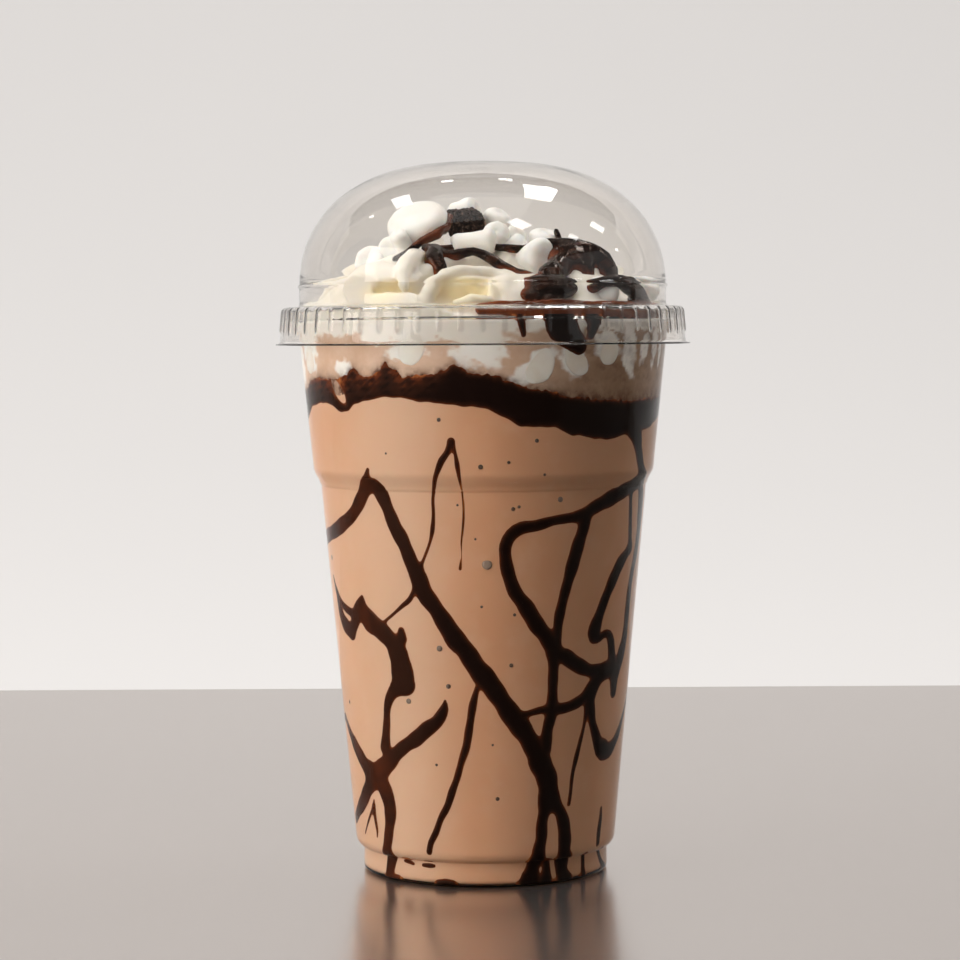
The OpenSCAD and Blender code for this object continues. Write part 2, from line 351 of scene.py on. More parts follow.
CUP_H = 138.0
WALL = 0.6
FLOOR = 1.2
SKIN = 0.4  # how far inside the wall's outer face its contents' skin lies
HELD_Z = 134  # below this height the wall holds things in
FOOT_R, FOOT_TOP = 30.1, 6  # upright foot, and the height where it starts to widen
BODY_R, BODY_LOW = 32.1, 9  # bottom of the tapered body
STEP_R, STEP_LOW, STEP_HIGH = 40, 95, 99.5  # stacking step
NECK_R, NECK_TOP, NECK_FLARE = 41.9, 135, 3.6  # from the step to the rim
RIM_R, BEAD = 46.75, 1.45  # rolled rim
STEP_Z = [94.7, 95, 95.2, 95.4, 95.8, 96.3, 96.8, 97.3, 97.8, 98.3, 98.8, 99.3, 99.7]
BEND = np.radians([8, 20, 34, 48, 62, 76, 90])  # the widening above the foot


def cup_r(z):
    """Outer radius of the cup in mm at a height in mm, as an array."""
    z = np.asarray(z, dtype=float)

    def rise(start, end):
        return np.clip((z - start) / (end - start), 0, 1)

    def bend(start, end):
        return np.sqrt(np.clip(1 - (1 - rise(start, end)) ** 2, 0, 1))

    edge = FOOT_R - 1 + bend(0, 1)
    widening = FOOT_R + (BODY_R - FOOT_R) * bend(FOOT_TOP, BODY_LOW)
    body = BODY_R + (STEP_R - BODY_R) * (z - BODY_LOW) / (STEP_LOW - BODY_LOW)
    crease = 0.25 * rise(STEP_LOW, STEP_LOW + 0.35)
    step = STEP_R + crease + 1.65 * (1 - np.cos(PI * rise(STEP_LOW, STEP_HIGH))) / 2
    neck = NECK_R + NECK_FLARE * (z - STEP_HIGH) / (NECK_TOP - STEP_HIGH)
    return np.select([z < 1, z < FOOT_TOP, z < BODY_LOW, z < STEP_LOW, z < STEP_HIGH],
                     [edge, FOOT_R + 0 * z, widening, body, step], neck)


def wall_points(heights, inset=0.0):
    """(r, z) points up the wall, inset from its outer face."""
    return [(float(cup_r(z)) - inset, z) for z in heights]


def lathe(name, profile, segments, material, radius=None):
    """Closed surface turned round the axis.

    profile is (r, z) in mm, from axis to axis or a closed ring. radius(k, r, z, angles) may change
    ring k: it gives the ring's radii and heights.
    """
    profile = [tuple(p) for p in profile]
    on_axis = profile[0][0] < 1e-6
    ang = np.arange(segments) * 2 * PI / segments
    rings = profile[1:-1] if on_axis else profile
    verts, faces = [], []
    for k, (r, z) in enumerate(rings):
        rr, zz = (r + 0 * ang, z + 0 * ang) if radius is None else radius(k, r, z, ang)
        verts.append(turned(rr, ang, zz))
    verts = np.concatenate(verts)
    n = len(rings)
    i = np.arange(segments)
    j = (i + 1) % segments
    for k in range(n - 1 if on_axis else n):
        a, b = k * segments, ((k + 1) % n) * segments
        faces.append(np.stack([a + i, a + j, b + j, b + i], 1))
    faces = [list(f) for f in np.concatenate(faces)]
    if on_axis:
        verts = np.concatenate([verts, [[0, 0, profile[0][1]], [0, 0, profile[-1][1]]]])
        first, last = len(verts) - 2, len(verts) - 1
        faces += [[first, b, a] for a, b in zip(i, j)]
        end = (n - 1) * segments
        faces += [[last, end + a, end + b] for a, b in zip(i, j)]
    return mesh_object(name, verts * MM, faces, material)


def arc(cx, cz, r, start, end, steps):
    """Points on an arc in the (r, z) plane; angles in degrees from +r towards +z."""
    return [(cx + r * math.cos(math.radians(a)), cz + r * math.sin(math.radians(a)))
            for a in np.linspace(start, end, steps)]


def cup_profile():
    """From the axis under the foot, up the outside, over the rim and down the inside."""
    t = WALL
    wide = BODY_R - FOOT_R
    outer = [(0, FLOOR - t), (12, FLOOR - t), (23.6, FLOOR - t), (24.4, FLOOR - t - 0.15), (25, 0.1)]
    outer += [(25.3, 0), (FOOT_R - 1.1, 0)]
    outer += arc(FOOT_R - 1, 1, 1, -80, 0, 6)
    outer += [(FOOT_R, 3), (FOOT_R, FOOT_TOP - 0.6), (FOOT_R + 0.05, FOOT_TOP - 0.15)]
    outer += [(FOOT_R + wide * math.sin(q), BODY_LOW - 3 * math.cos(q)) for q in BEND]
    outer += wall_points(np.linspace(12, 94, 24))
    outer += wall_points(STEP_Z)
    outer += wall_points(np.linspace(102, 134, 10))
    rim = arc(RIM_R, CUP_H - BEAD, BEAD, -160, 100, 16)
    inner = [(RIM_R - BEAD, CUP_H - 0.35), (RIM_R - 1.75, CUP_H - 1.2), (RIM_R - 1.82, NECK_TOP)]
    inner += wall_points(np.linspace(132, 101, 10), t)
    inner += wall_points(STEP_Z[::-1], t)
    inner += wall_points(np.linspace(92, 12, 20), t)
    inner += [(FOOT_R - t + wide * math.sin(q), BODY_LOW + 0.2 - 2.6 * math.cos(q)) for q in BEND[::-1]]
    inner += [(FOOT_R - t, 6.2), (FOOT_R - t, 3.4)]
    inner += arc(FOOT_R - t - 1, FLOOR + 1, 1, 0, -90, 6)
    inner += [(15, FLOOR), (0, FLOOR)]
    return outer + rim + inner


piece(lathe("cup_clear", cup_profile(), 240, CLEAR_CUP), "clear_cup", "cup")

FLANGE_Z = 138.5
SKIRT_H = 8.4
SKIRT_R = 49.1
LID_WALL = 0.5
DOME_R, DOME_H = 45, 29.9
DOME_BULGE = 0.36  # 0.5 would be half of an ellipsoid
DOME_Z = FLANGE_Z + 5.5  # foot of the dome, on its collar
RIBS = 62
RIB_HALF = 1.05
RIB_LOW = FLANGE_Z - 5.6  # middle of a rib's round lower end


def skirt_r(z):
    """Outer radius of the lid's skirt between its ribs."""
    return SKIRT_R + 0.75 * (FLANGE_Z - z) / SKIRT_H


def dome_points(inset, angles):
    """(r, z, rib share) over the dome, flatter on top than a half ball."""
    radius, height = DOME_R - inset, DOME_H - inset
    return [(radius * (1 - math.sin(q) ** 2) ** DOME_BULGE, DOME_Z + height * math.sin(q), 0)
            for q in np.radians(angles)]


def lid_profile():
    """(r, z, rib share) from the dome's top down the outside to the lip and back up inside."""
    top, low = FLANGE_Z, FLANGE_Z - SKIRT_H
    out = [(0, DOME_Z + DOME_H, 0)] + dome_points(0, np.linspace(90, 0, 30)[1:])
    out += [(45.35, DOME_Z - 0.2, 0), (45.4, DOME_Z - 0.6, 0), (45.1, DOME_Z - 1.0, 0), (45.0, DOME_Z - 2, 0),
            (45.0, top + 1.2, 0), (45.15, top + 0.5, 0), (45.5, top + 0.12, 0), (46.2, top, 0),
            (47.4, top, 0), (48.4, top - 0.05, 0), (48.9, top - 0.3, 0.3), (SKIRT_R, top - 0.8, 1)]
    out += [(skirt_r(z), z, 1) for z in np.linspace(top - 1.3, low + 0.2, 20)]
    out += [(49.95, low - 0.2, 0), (50.3, low - 0.45, 0), (50.85, low - 0.5, 0), (51.0, low - 0.65, 0),
            (50.85, low - 0.85, 0), (50.2, low - 0.9, 0), (49.75, low - 0.75, 0), (49.5, low - 0.4, 0)]
    out += [(skirt_r(z) - LID_WALL, z, 1) for z in np.linspace(low + 0.2, top - 1.3, 14)]
    out += [(48.4, top - 0.75, 0.3), (47.9, top - 0.5, 0), (46.2, top - 0.5, 0), (45.2, top - 0.42, 0),
            (44.65, top + 0.1, 0), (44.5, top + 1, 0), (44.5, DOME_Z - 2, 0), (44.6, DOME_Z - 1.0, 0),
            (44.9, DOME_Z - 0.6, 0), (44.85, DOME_Z - 0.2, 0)]
    out += dome_points(LID_WALL, np.linspace(2, 90, 28)[:-1]) + [(0, DOME_Z + DOME_H - LID_WALL, 0)]
    return out


def rib_shape(ang, z):
    """How far a rib stands out at an angle and height: upright bars with rounded lower ends."""
    pitch = 2 * PI / RIBS
    off = (np.mod(ang / pitch + 0.5, 1) - 0.5) * pitch * (SKIRT_R + 0.3)
    depth = RIB_HALF - np.hypot(off, max(0.0, RIB_LOW - z))
    number = np.floor(ang / pitch + 0.5)
    t = np.clip(depth / 0.95, 0, 1)
    return (0.27 + 0.06 * np.sin(number * 2.3)) * t * t * (3 - 2 * t)


LID = lid_profile()


def lid_ring(k, r, z, ang):
    share = LID[k + 1][2]
    return r + share * rib_shape(ang, z), z + 0 * ang


def ribbed_lid():
    obj = lathe("lid_clear", [(r, z) for r, z, _ in LID], RIBS * 12, CLEAR_LID, lid_ring)
    x, y, z = places(obj).T
    on_skirt = (z < FLANGE_Z - 1.2) & (z > FLANGE_Z - SKIRT_H + 0.1)
    paint(obj, "rib", np.clip((np.hypot(x, y) - skirt_r(z)) / 0.22, 0, 1) * on_skirt)
    return obj


piece(ribbed_lid(), "clear_lid", "lid")

# ---------------------------------------------------------------- the sauce band's edges
# (angle from the front in degrees, height in mm), once round the wall
BAND_LOW = [(-180, 111), (-168, 109.5), (-155, 111), (-140, 113), (-125, 111), (-110, 109), (-96, 111),
            (-87, 110.5), (-80, 112), (-71, 114.8), (-64, 115.5), (-57, 115.2), (-51, 113.5), (-48, 113.8),
            (-44, 115.5), (-40, 116.4), (-33, 117), (-26, 117), (-18, 116), (-11, 115.5), (-4, 115),
            (1, 114.5), (6, 112.5), (12, 110.5), (17, 110), (23, 110), (30, 108), (38, 107), (46, 107),
            (54, 108), (65, 108.5), (77, 110.5), (84, 112), (95, 110.5), (110, 108), (125, 110), (140, 112),
            (152, 110), (165, 112), (180, 111)]
BAND_HIGH = [(-180, 119), (-165, 121), (-150, 119), (-135, 122), (-120, 119.5), (-105, 122), (-92, 118.5),
             (-78, 118.5), (-71, 120.5), (-64, 121.5), (-58, 121.5), (-53, 121), (-48, 122), (-44, 124),
             (-41, 122.5), (-38, 122), (-35, 122.8), (-31, 125.5), (-29, 124), (-25, 122), (-21, 122.5),
             (-15, 122.5), (-12, 123.5), (-9, 125), (-7, 124), (-4, 123), (0, 122.5), (4, 122), (8, 121),
             (12, 119.5), (17, 119), (23, 118), (28, 117), (37, 116.5), (48, 116), (60, 116), (75, 116.5),
             (90, 117), (105, 119.5), (120, 117.5), (135, 120), (150, 118), (165, 120.5), (180, 119)]


def eased(table, a):
    """Value at angles from a list of (angle, value), eased between neighbours."""
    x = np.array([p[0] for p in table], dtype=float)
    y = np.array([p[1] for p in table], dtype=float)
    k = np.clip(np.searchsorted(x, a, side="right") - 1, 0, len(x) - 2)
    t = (a - x[k]) / (x[k + 1] - x[k])
    t = 0.35 * t + 0.65 * t * t * (3 - 2 * t)
    return y[k] * (1 - t) + y[k + 1] * t


# ---------------------------------------------------------------- the shake

SHAKE_BEND, SHAKE_TOP = 101, 121  # between these heights its rings follow the band
TOP_SKIN_R = 37  # rings inside this radius aren't at the wall


def shake_profile():
    out = [(0, FLOOR - 0.3), (14, FLOOR - 0.3), (28.4, FLOOR - 0.3)]
    foot, wide = FOOT_R - SKIN, BODY_R - FOOT_R
    out += arc(foot - 1.1, FLOOR + 0.8, 1.1, -80, 0, 6)
    out += [(foot, 3.5), (foot, FOOT_TOP)]
    out += [(foot + wide * math.sin(q), BODY_LOW + 0.1 - 2.8 * math.cos(q)) for q in BEND]
    out += wall_points(np.linspace(11, 94, 60), SKIN)
    out += wall_points(STEP_Z, SKIN)
    out += wall_points(np.linspace(SHAKE_BEND, SHAKE_TOP, 16), SKIN)
    out += [(36, SHAKE_TOP - 1), (20, SHAKE_TOP - 1.5), (0, SHAKE_TOP - 2)]
    return out


def band_middle(ang):
    """Height of the middle of the sauce band at angles in radians."""
    a = np.degrees(np.mod(ang + PI, 2 * PI) - PI)
    return (eased(BAND_LOW, a) + eased(BAND_HIGH, a)) / 2


def shake_ring(k, r, z, ang):
    """The shake meets the cream along the middle of the band, where the band hides the line."""
    if z <= SHAKE_BEND or r < TOP_SKIN_R:
        return r + 0 * ang, z + 0 * ang
    share = (z - SHAKE_BEND) / (SHAKE_TOP - SHAKE_BEND)
    high = SHAKE_BEND + (band_middle(ang) + 0.5 - SHAKE_BEND) * share
    return cup_r(high) - SKIN, high


piece(lathe("shake_body", shake_profile(), 192, SHAKE, shake_ring), "chocolate_shake", "shake")

# ---------------------------------------------------------------- sauce on the wall
# Routes are (angle from the front in degrees, height in mm, width in mm).

STRANDS = [
    # long diagonal: pulled up to a peak on the left, then down to its two legs
    [(-86, 82, 3), (-78, 83, 3.2), (-68, 84.5, 3.3), (-60, 86.5, 3.3), (-53, 89, 3.3), (-48, 92.5, 3.3),
     (-44, 96, 3.2), (-42, 98, 2.2), (-41, 100, 1)],
    [(-43, 96, 2.5), (-39.5, 96, 3.8), (-37, 93.5, 3.6), (-35, 90.5, 3.4), (-32.5, 86.5, 3.4),
     (-29.5, 83, 3.4), (-26.5, 78, 3.6), (-24, 74.5, 3.8), (-22, 71, 4), (-18.5, 68, 3.9), (-14.5, 64, 4),
     (-10.5, 60, 4.3), (-7, 57.5, 4.4), (-3, 53.5, 4.4), (1.5, 50, 4.4), (6.5, 45.5, 4.4), (11, 41.5, 4.4),
     (16, 37.5, 4.5), (20, 33.5, 4.5), (23, 30, 4.9), (26, 26.5, 5.2), (27, 23.5, 5.2), (27.5, 21, 5)],
    [(26.5, 21.5, 3.6), (25.5, 18.5, 3), (24.5, 15.5, 2.9), (24.5, 12, 2.7), (23.5, 9, 2.9),
     (23.5, 6.5, 3.6)],
    [(28.5, 21.5, 3.4), (31, 19.5, 3.2), (33.5, 17.5, 3.2), (35.5, 14.5, 3.3), (36.5, 10.5, 3.4),
     (36.5, 8, 3.6), (38, 6, 4)],
    # thin upturned V in the middle
    [(-10.5, 107, 1.3), (-11.5, 104.5, 1.5), (-13.5, 102.5, 1.5), (-15, 100, 1.2), (-16.5, 97, 0.9),
     (-17.5, 93.5, 0.8), (-17.5, 90, 0.8), (-18, 86.5, 1), (-19, 83.5, 0.7), (-20.5, 81, 0.7),
     (-22.5, 78, 0.8), (-24, 75, 1)],
    [(-10, 107, 1.2), (-9, 104, 0.7), (-8.5, 101.5, 1.1), (-8, 99, 0.8), (-7.5, 96, 0.5), (-7, 92.5, 0.5),
     (-7, 89, 0.5), (-7.5, 85.5, 0.5), (-8, 82.5, 0.4), (-8, 80, 0.3), (-8.5, 77, 0.7)],
    [(-25, 73, 0.8), (-28, 69.5, 1.2), (-31, 68, 1), (-35, 66, 0.8), (-39.5, 64, 0.7)],
    # thick drip from the band and the loop it feeds
    [(56, 110, 5), (60, 107, 4.4), (62, 104, 3.8), (65, 100, 3.2), (68, 97, 4)],
    [(70, 96.5, 3.6), (64, 95.5, 3.8), (54, 93.5, 3.5), (47, 92, 3.5), (41, 90.5, 3.2), (36.5, 89, 2.9),
     (30.5, 88.5, 2.2), (24.5, 88, 2.3), (18.5, 87, 2.4), (13, 86.5, 2.6), (9.5, 85, 3), (7.5, 82.5, 2.8),
     (7.5, 79.5, 2.7), (8.5, 76, 2.8), (11, 71.5, 3.2), (15, 68, 3.5), (19.5, 63.5, 3.6), (23.5, 60.5, 3.8),
     (26.5, 57.5, 3.8)],
    [(38, 88.5, 3.2), (37, 85.5, 3.4), (35.5, 82.5, 3.4), (34, 79, 3.3), (32.5, 75.5, 3.1), (31, 72, 2.8),
     (30, 69.5, 2.6), (28.5, 65, 2.4), (28, 61.5, 2.4), (27.5, 57.5, 3)],
    [(27, 56, 3.4), (27, 51.5, 2.6), (27, 47, 2.4), (27, 44, 2.8), (26.5, 41, 2.9), (25.5, 38.5, 2.7),
     (25, 35.5, 2.7), (25, 33.5, 2.7)],
    [(27, 56.5, 3.1), (32, 55.5, 3.4), (37, 53.5, 3.4), (44.5, 51.5, 3.2), (51, 51, 3.6), (59, 51, 4)],
    [(54, 51, 3.4), (50, 49.5, 3.6), (47, 47.5, 3.6), (42, 45, 3), (36, 43.5, 2.5), (31, 43, 2.3),
     (27, 43, 2.3), (22.5, 43, 1.8), (18.5, 42.5, 1.6), (15, 42, 1.6)],
    # down to the blob on the right and out to the edge
    [(47, 47, 3), (46, 44.5, 3), (46.5, 42.5, 2.9), (48, 39, 2.7), (50.5, 36, 2.8), (53.5, 33, 3.6),
     (57, 31.5, 4.6), (62, 31, 4), (67, 32.5, 3), (72, 35, 2.4), (78, 39, 2), (86, 44, 1.6)],
    [(44, 44, 1.3), (43.5, 39, 1.1), (41.5, 34, 1.2), (40, 30.5, 1.3), (38.5, 26.5, 1.1), (38, 22, 1),
     (37.5, 19.5, 0.9)],
    # two lines near the right edge, with the hook between them
    [(63, 96, 2), (63.5, 92, 1.9), (64.5, 88, 1.9), (65.5, 84, 2), (66.5, 80, 2.6)],
    [(66.5, 80.5, 2.4), (63, 78.5, 3), (59, 76.5, 3.4), (55.5, 73.5, 3.4), (52.5, 70.5, 3.3), (50, 67.5, 3.1),
     (47.5, 64, 3.2), (46, 61.5, 3.8), (46, 60, 4), (49, 59.3, 2.2), (52, 60, 2), (55, 59.5, 2.2),
     (57, 57.5, 2.8), (58, 55, 3), (59, 52.5, 3.4)],
    [(72, 96, 4), (75, 92, 4.5), (76, 86, 4.5), (75, 80, 3.5), (72, 75, 3), (70, 70, 3), (69.5, 64, 3.2),
     (69, 58, 3.6), (66, 53.5, 4), (63, 50.5, 4.5)],
    [(60, 51, 4), (61.5, 48.5, 3.6), (62, 46.5, 3.2), (62, 45.3, 2.8)],
    [(59.5, 17, 0.9), (59.5, 14, 1.5), (59, 11.5, 1.7), (59, 8.5, 1.7)],
    # thin one right of the knot, down to the foot
    [(-3, 48.5, 1), (-4.5, 45, 1.7), (-5.5, 41.5, 1.8), (-6.5, 38, 1.8), (-7.5, 34.5, 1.7), (-9.5, 31, 1.6),
     (-11.5, 27, 1.6), (-13.5, 24, 1.6), (-16, 20, 1.6), (-19, 17, 1.6), (-21.5, 13.5, 1.5), (-24, 11, 1.4),
     (-25, 8.8, 1.3)],
    # jagged hooks on the left, ending in a heavy blob with a tail
    [(-76, 73, 0.8), (-73, 69, 1.6), (-71, 65.5, 2.6), (-68, 62.5, 3.4), (-64, 61, 3.6), (-61, 60, 3.4)],
    [(-73, 70, 1), (-69, 67.5, 1.5), (-65, 66, 1.8), (-60, 65, 2)],
    [(-61, 60.5, 3.3), (-58, 62.5, 3.4), (-55, 65.5, 3.6), (-52.5, 67.5, 2.8), (-51.5, 69, 1.2)],
    [(-52, 66, 4.6), (-48, 63.5, 4.8), (-43.5, 62, 4.3), (-39, 60, 4.4), (-36, 58, 4.9), (-34.5, 56, 5.2),
     (-33.5, 53, 5.2), (-33, 50.5, 5.6), (-32, 49, 5.2)],
    [(-32.5, 61.8, 1.8), (-32.5, 60, 2.6)],
    [(-35, 48.5, 4), (-38, 47, 3), (-40.5, 45, 2.4), (-42, 42.5, 2.2), (-42.5, 40, 2.2), (-43.5, 36.5, 2.4),
     (-44.5, 33, 3)],
    [(-15.5, 45.5, 0.6), (-16, 43.5, 2), (-19, 40.5, 3.1), (-23.5, 38.5, 3.3), (-28.5, 36, 3.2),
     (-34, 34, 3.2), (-39.5, 31.5, 3.4), (-44.5, 29, 4.2), (-49, 27, 5), (-53, 25.5, 5.4)],
    [(-54.5, 26, 5.4), (-59, 27.5, 4.4), (-63, 29.5, 3.8), (-68, 32, 3.4), (-73, 34.5, 2.6), (-80, 38, 1.6)],
    [(-56, 24, 4.6), (-60, 21.5, 3.8), (-65, 18.5, 3.4), (-71, 16, 3), (-79, 13, 2.4)],
    [(-50, 25, 5), (-47.5, 23.5, 4.6), (-45.5, 21, 4), (-44.5, 18.5, 3.7), (-45, 15.5, 3.4), (-46.5, 12, 3),
     (-48, 9, 2.8), (-49, 6.5, 3)],
    [(-55, 19.5, 0.6), (-56, 17.5, 1.1), (-58.5, 16, 0.8), (-62, 13.5, 0.7), (-66, 10.5, 0.5)],
    [(-55.5, 18, 0.8), (-55.5, 16.5, 1.2), (-55, 14, 1.1), (-54.5, 12, 0.9), (-55, 10.5, 0.5)],
    # drips down from the rim behind the skirt
    [(22, 137, 6.0), (24, 133.5, 7.0), (27, 131, 6.0), (30, 129, 4.0)],
    [(10.5, 136.5, 1.4), (11.5, 134, 1.8), (12, 131.5, 1.2)],
    [(33, 136.5, 2.6), (35, 134.5, 3.4), (34, 131.5, 2.0)],
    # on the foot
    [(22.5, 6, 3), (21.5, 3.5, 3.8), (20.5, 0.8, 5)],
    [(29, 5.4, 2), (29, 2.6, 2.4), (28.5, 0.8, 3.6)],
    [(37, 5.6, 3), (38, 2.5, 3.4), (39.5, 0.8, 4.4)],
    [(52, 5.8, 1.3), (52, 2.6, 1.5), (52.5, 0.8, 2)],
    [(-49, 6, 3.2), (-50.5, 3, 3), (-51.5, 1, 3)],
    [(-40.5, 5.5, 0.8), (-38, 5.5, 1.3), (-35.5, 5, 0.8)],
    [(-30, 5, 0.9), (-27, 5, 1.2), (-24.5, 5, 0.8)],
    [(-22, 1, 1.7), (-19, 1, 2), (-15.5, 1, 1.6)],
    [(-48, 1, 1.4), (-45, 1, 1.4)],
    [(66, 6, 1.4), (70, 3, 1.6), (76, 1, 2)],
    # the back, in the same style
    [(-84, 82, 3), (-96, 84, 3), (-108, 91, 3), (-117, 99, 2.8), (-121, 104, 2.4)],
    [(-118, 101, 2.4), (-126, 90, 3.0), (-137, 76, 3.4), (-150, 60, 3.8), (-163, 46, 4.0), (-174, 34, 3.8),
     (-179, 20, 3.2), (-181, 8, 3.0)],
    [(-137, 76, 1.4), (-130, 66, 1.8), (-126, 56, 1.6), (-120, 47, 2.0), (-110, 40, 2.6), (-100, 33, 2.2),
     (-92, 24, 1.8), (-89, 12, 1.6)],
    [(-100, 33, 1.6), (-92, 37, 1.6), (-80, 38, 1.6)],
    [(-150, 109, 3.4), (-153, 101, 2.2), (-152, 92, 1.6), (-155, 83, 1.2), (-156, 74, 0.8)],
    [(172, 109, 3.0), (170, 97, 2.6), (160, 90, 2.6), (146, 88, 2.4), (134, 82, 2.6), (130, 72, 2.8),
     (136, 62, 3.0), (148, 54, 3.0), (160, 48, 2.8), (172, 41, 2.4), (182, 37, 2.4)],
    [(146, 88, 1.8), (150, 78, 1.8), (152, 66, 2.0), (148, 54, 2.0)],
    [(118, 108, 2.8), (116, 98, 2.0), (108, 88, 2.2), (104, 74, 2.0), (108, 62, 2.2), (106, 50, 2.4),
     (96, 46, 2.0), (86, 44, 1.6)],
    [(106, 50, 2.0), (114, 40, 2.2), (120, 28, 2.4), (121, 16, 2.2), (119, 5, 2.6)],
    [(136, 62, 1.6), (128, 52, 1.2), (122, 44, 1.4), (114, 40, 1.8)],
    [(148, 54, 1.6), (152, 40, 1.4), (150, 26, 1.6), (146, 12, 1.4)],
    [(90, 20, 0.8), (93, 13, 1.0), (92, 7, 1.0)],
]


HOLE = (-52, 118.5)  # small gap in the band
HALF = 0.56  # half a strand's width, with a little more for its sloping edge
BLEND = 1.1  # how far crossings fill in, in mm
FAR = -9.0
DEG = PI / 180
MID_R = 38  # the cup's radius at half height, for lengths along the wall
UNROLL = 0.7  # mm along the wall to a degree, nearly


def smooth_route(route, step=1.0):
    """Points along a smooth curve through a route, every step mm, as an array of (angle, height, width)."""
    p = np.array(route, dtype=float)
    p = np.concatenate([[2 * p[0] - p[1]], p, [2 * p[-1] - p[-2]]])
    out = []
    for k in range(1, len(p) - 2):
        a, b, c, d = p[k - 1], p[k], p[k + 1], p[k + 2]
        length = math.hypot((c[0] - b[0]) * DEG * MID_R, c[1] - b[1])
        n = max(2, int(length / step))
        t = (np.arange(n) / n)[:, None]
        bend, twist = 2 * a - 5 * b + 4 * c - d, 3 * b - a - 3 * c + d
        out.append(0.5 * (2 * b + (c - a) * t + bend * t**2 + twist * t**3))
    out.append(p[-2][None])
    out = np.concatenate(out)
    out[:, 2] = np.maximum(out[:, 2], 0.3)
    return out


def wobble(x, y, seed, size):
    """Smooth made-up unevenness from a few waves, between about -1 and 1."""
    rng = np.random.default_rng(seed)
    total = 0
    for k in range(5):
        f = (1 + 0.6 * k) / size
        q = rng.uniform(0, 2 * PI)
        shift = rng.uniform(0, 2 * PI)
        total = total + np.sin(f * (x * math.cos(q) + y * math.sin(q)) * 2 * PI + shift) / (1 + 0.5 * k)
    return total / 2.2


def strand_field(a_grid, z_grid, route, number):
    """Signed distance inside one strand, in mm, and -9 well away from it."""
    step_a = a_grid[1, 0] - a_grid[0, 0]
    step_z = z_grid[0, 1] - z_grid[0, 0]
    pts = smooth_route(route)
    along = np.arange(len(pts))
    uneven = 1 + 0.06 * np.sin(along * 0.55 + number) + 0.04 * np.sin(along * 1.35 + 2 * number)
    half = pts[:, 2] * HALF * uneven
    one = np.full(a_grid.shape, FAR)
    for k in range(len(pts) - 1):
        (a0, z0, _), (a1, z1, _) = pts[k], pts[k + 1]
        reach = max(half[k], half[k + 1]) + 1.6
        mm_per_degree = float(cup_r((z0 + z1) / 2)) * DEG
        for turn in (-360, 0, 360):
            i0 = int((min(a0, a1) + turn - reach / mm_per_degree - a_grid[0, 0]) / step_a)
            i1 = int((max(a0, a1) + turn + reach / mm_per_degree - a_grid[0, 0]) / step_a) + 2
            j0 = max(0, int((min(z0, z1) - reach - z_grid[0, 0]) / step_z))
            j1 = int((max(z0, z1) + reach - z_grid[0, 0]) / step_z) + 2
            i0 = max(0, i0)
            if i1 <= i0 or i0 >= one.shape[0] or j1 <= j0:
                continue
            part = (slice(i0, i1), slice(j0, j1))
            x = (a_grid[part] - a0 - turn) * mm_per_degree
            y = z_grid[part] - z0
            dx, dy = (a1 - a0) * mm_per_degree, z1 - z0
            t = np.clip((x * dx + y * dy) / (dx * dx + dy * dy + 1e-9), 0, 1)
            d = half[k] * (1 - t) + half[k + 1] * t - np.hypot(x - t * dx, y - t * dy)
            one[part] = np.maximum(one[part], d)
    return one


def wall_field(a_grid, z_grid):
    """Signed distance inside the sauce on the wall, in mm: positive where there is sauce."""
    low = eased(BAND_LOW, a_grid) - 0.25 * wobble(a_grid * UNROLL, z_grid, 3, 9)
    high = eased(BAND_HIGH, a_grid) + 0.5 * wobble(a_grid * UNROLL, z_grid, 5, 4)
    field = np.minimum(z_grid - low, high - z_grid)
    field = np.where(field > 0, field, field * 0.9)
    x, y = (a_grid - HOLE[0]) * 0.675, (z_grid - HOLE[1]) * 0.55
    field = np.minimum(field, np.hypot(x + y, y) - 1.6)
    for number, route in enumerate(STRANDS):
        one = strand_field(a_grid, z_grid, route, number)
        h = np.clip(0.5 + 0.5 * (one - field) / BLEND, 0, 1)
        joined = field * (1 - h) + one * h + BLEND * h * (1 - h)
        field = np.where(one > FAR + 1, joined, field)
    return field


def thinness(a, z, depth):
    """How thin the sauce looks, 0 to 1: at its edges, at the upper left and round the hole."""
    flat = a * UNROLL
    left = 1 / (1 + np.exp((np.abs(a + 46) - 26) / 5))
    under = np.maximum(eased(BAND_HIGH, a) - z, 0)
    melt = 0.55 + 0.3 * wobble(flat, z, 41, 5) + 0.3 * wobble(flat, z, 42, 1.8)
    thin = np.exp(-depth / 0.45)
    thin = np.maximum(thin, 0.5 * np.clip((-a - 8) / 40, 0, 1) * (z < 105))
    top = np.exp(-under / (0.5 + 4.5 * left)) * np.clip(1.35 * melt, 0, 1)
    thin = np.maximum(thin, top * (z > 112) * (under > 0))
    to_hole = np.hypot((a - HOLE[0]) * 0.72, z - HOLE[1] - 0.7)
    return np.maximum(thin, np.clip(1.5 - to_hole / 2.6 + 0.5 * wobble(flat, z, 43, 2.2), 0, 1))


def closed_shell(outer, inner, quads):
    """Outer and inner skin with the same quads, joined along the free edges."""
    n = len(outer)
    edges = np.concatenate([quads[:, [k, (k + 1) % 4]] for k in range(4)])
    _, first, count = np.unique(np.sort(edges, 1), axis=0, return_index=True, return_counts=True)
    rim = edges[first[count == 1]]
    sides = np.stack([rim[:, 1], rim[:, 0], rim[:, 0] + n, rim[:, 1] + n], 1)
    return np.concatenate([outer, inner]), np.concatenate([quads, quads[:, ::-1] + n, sides])


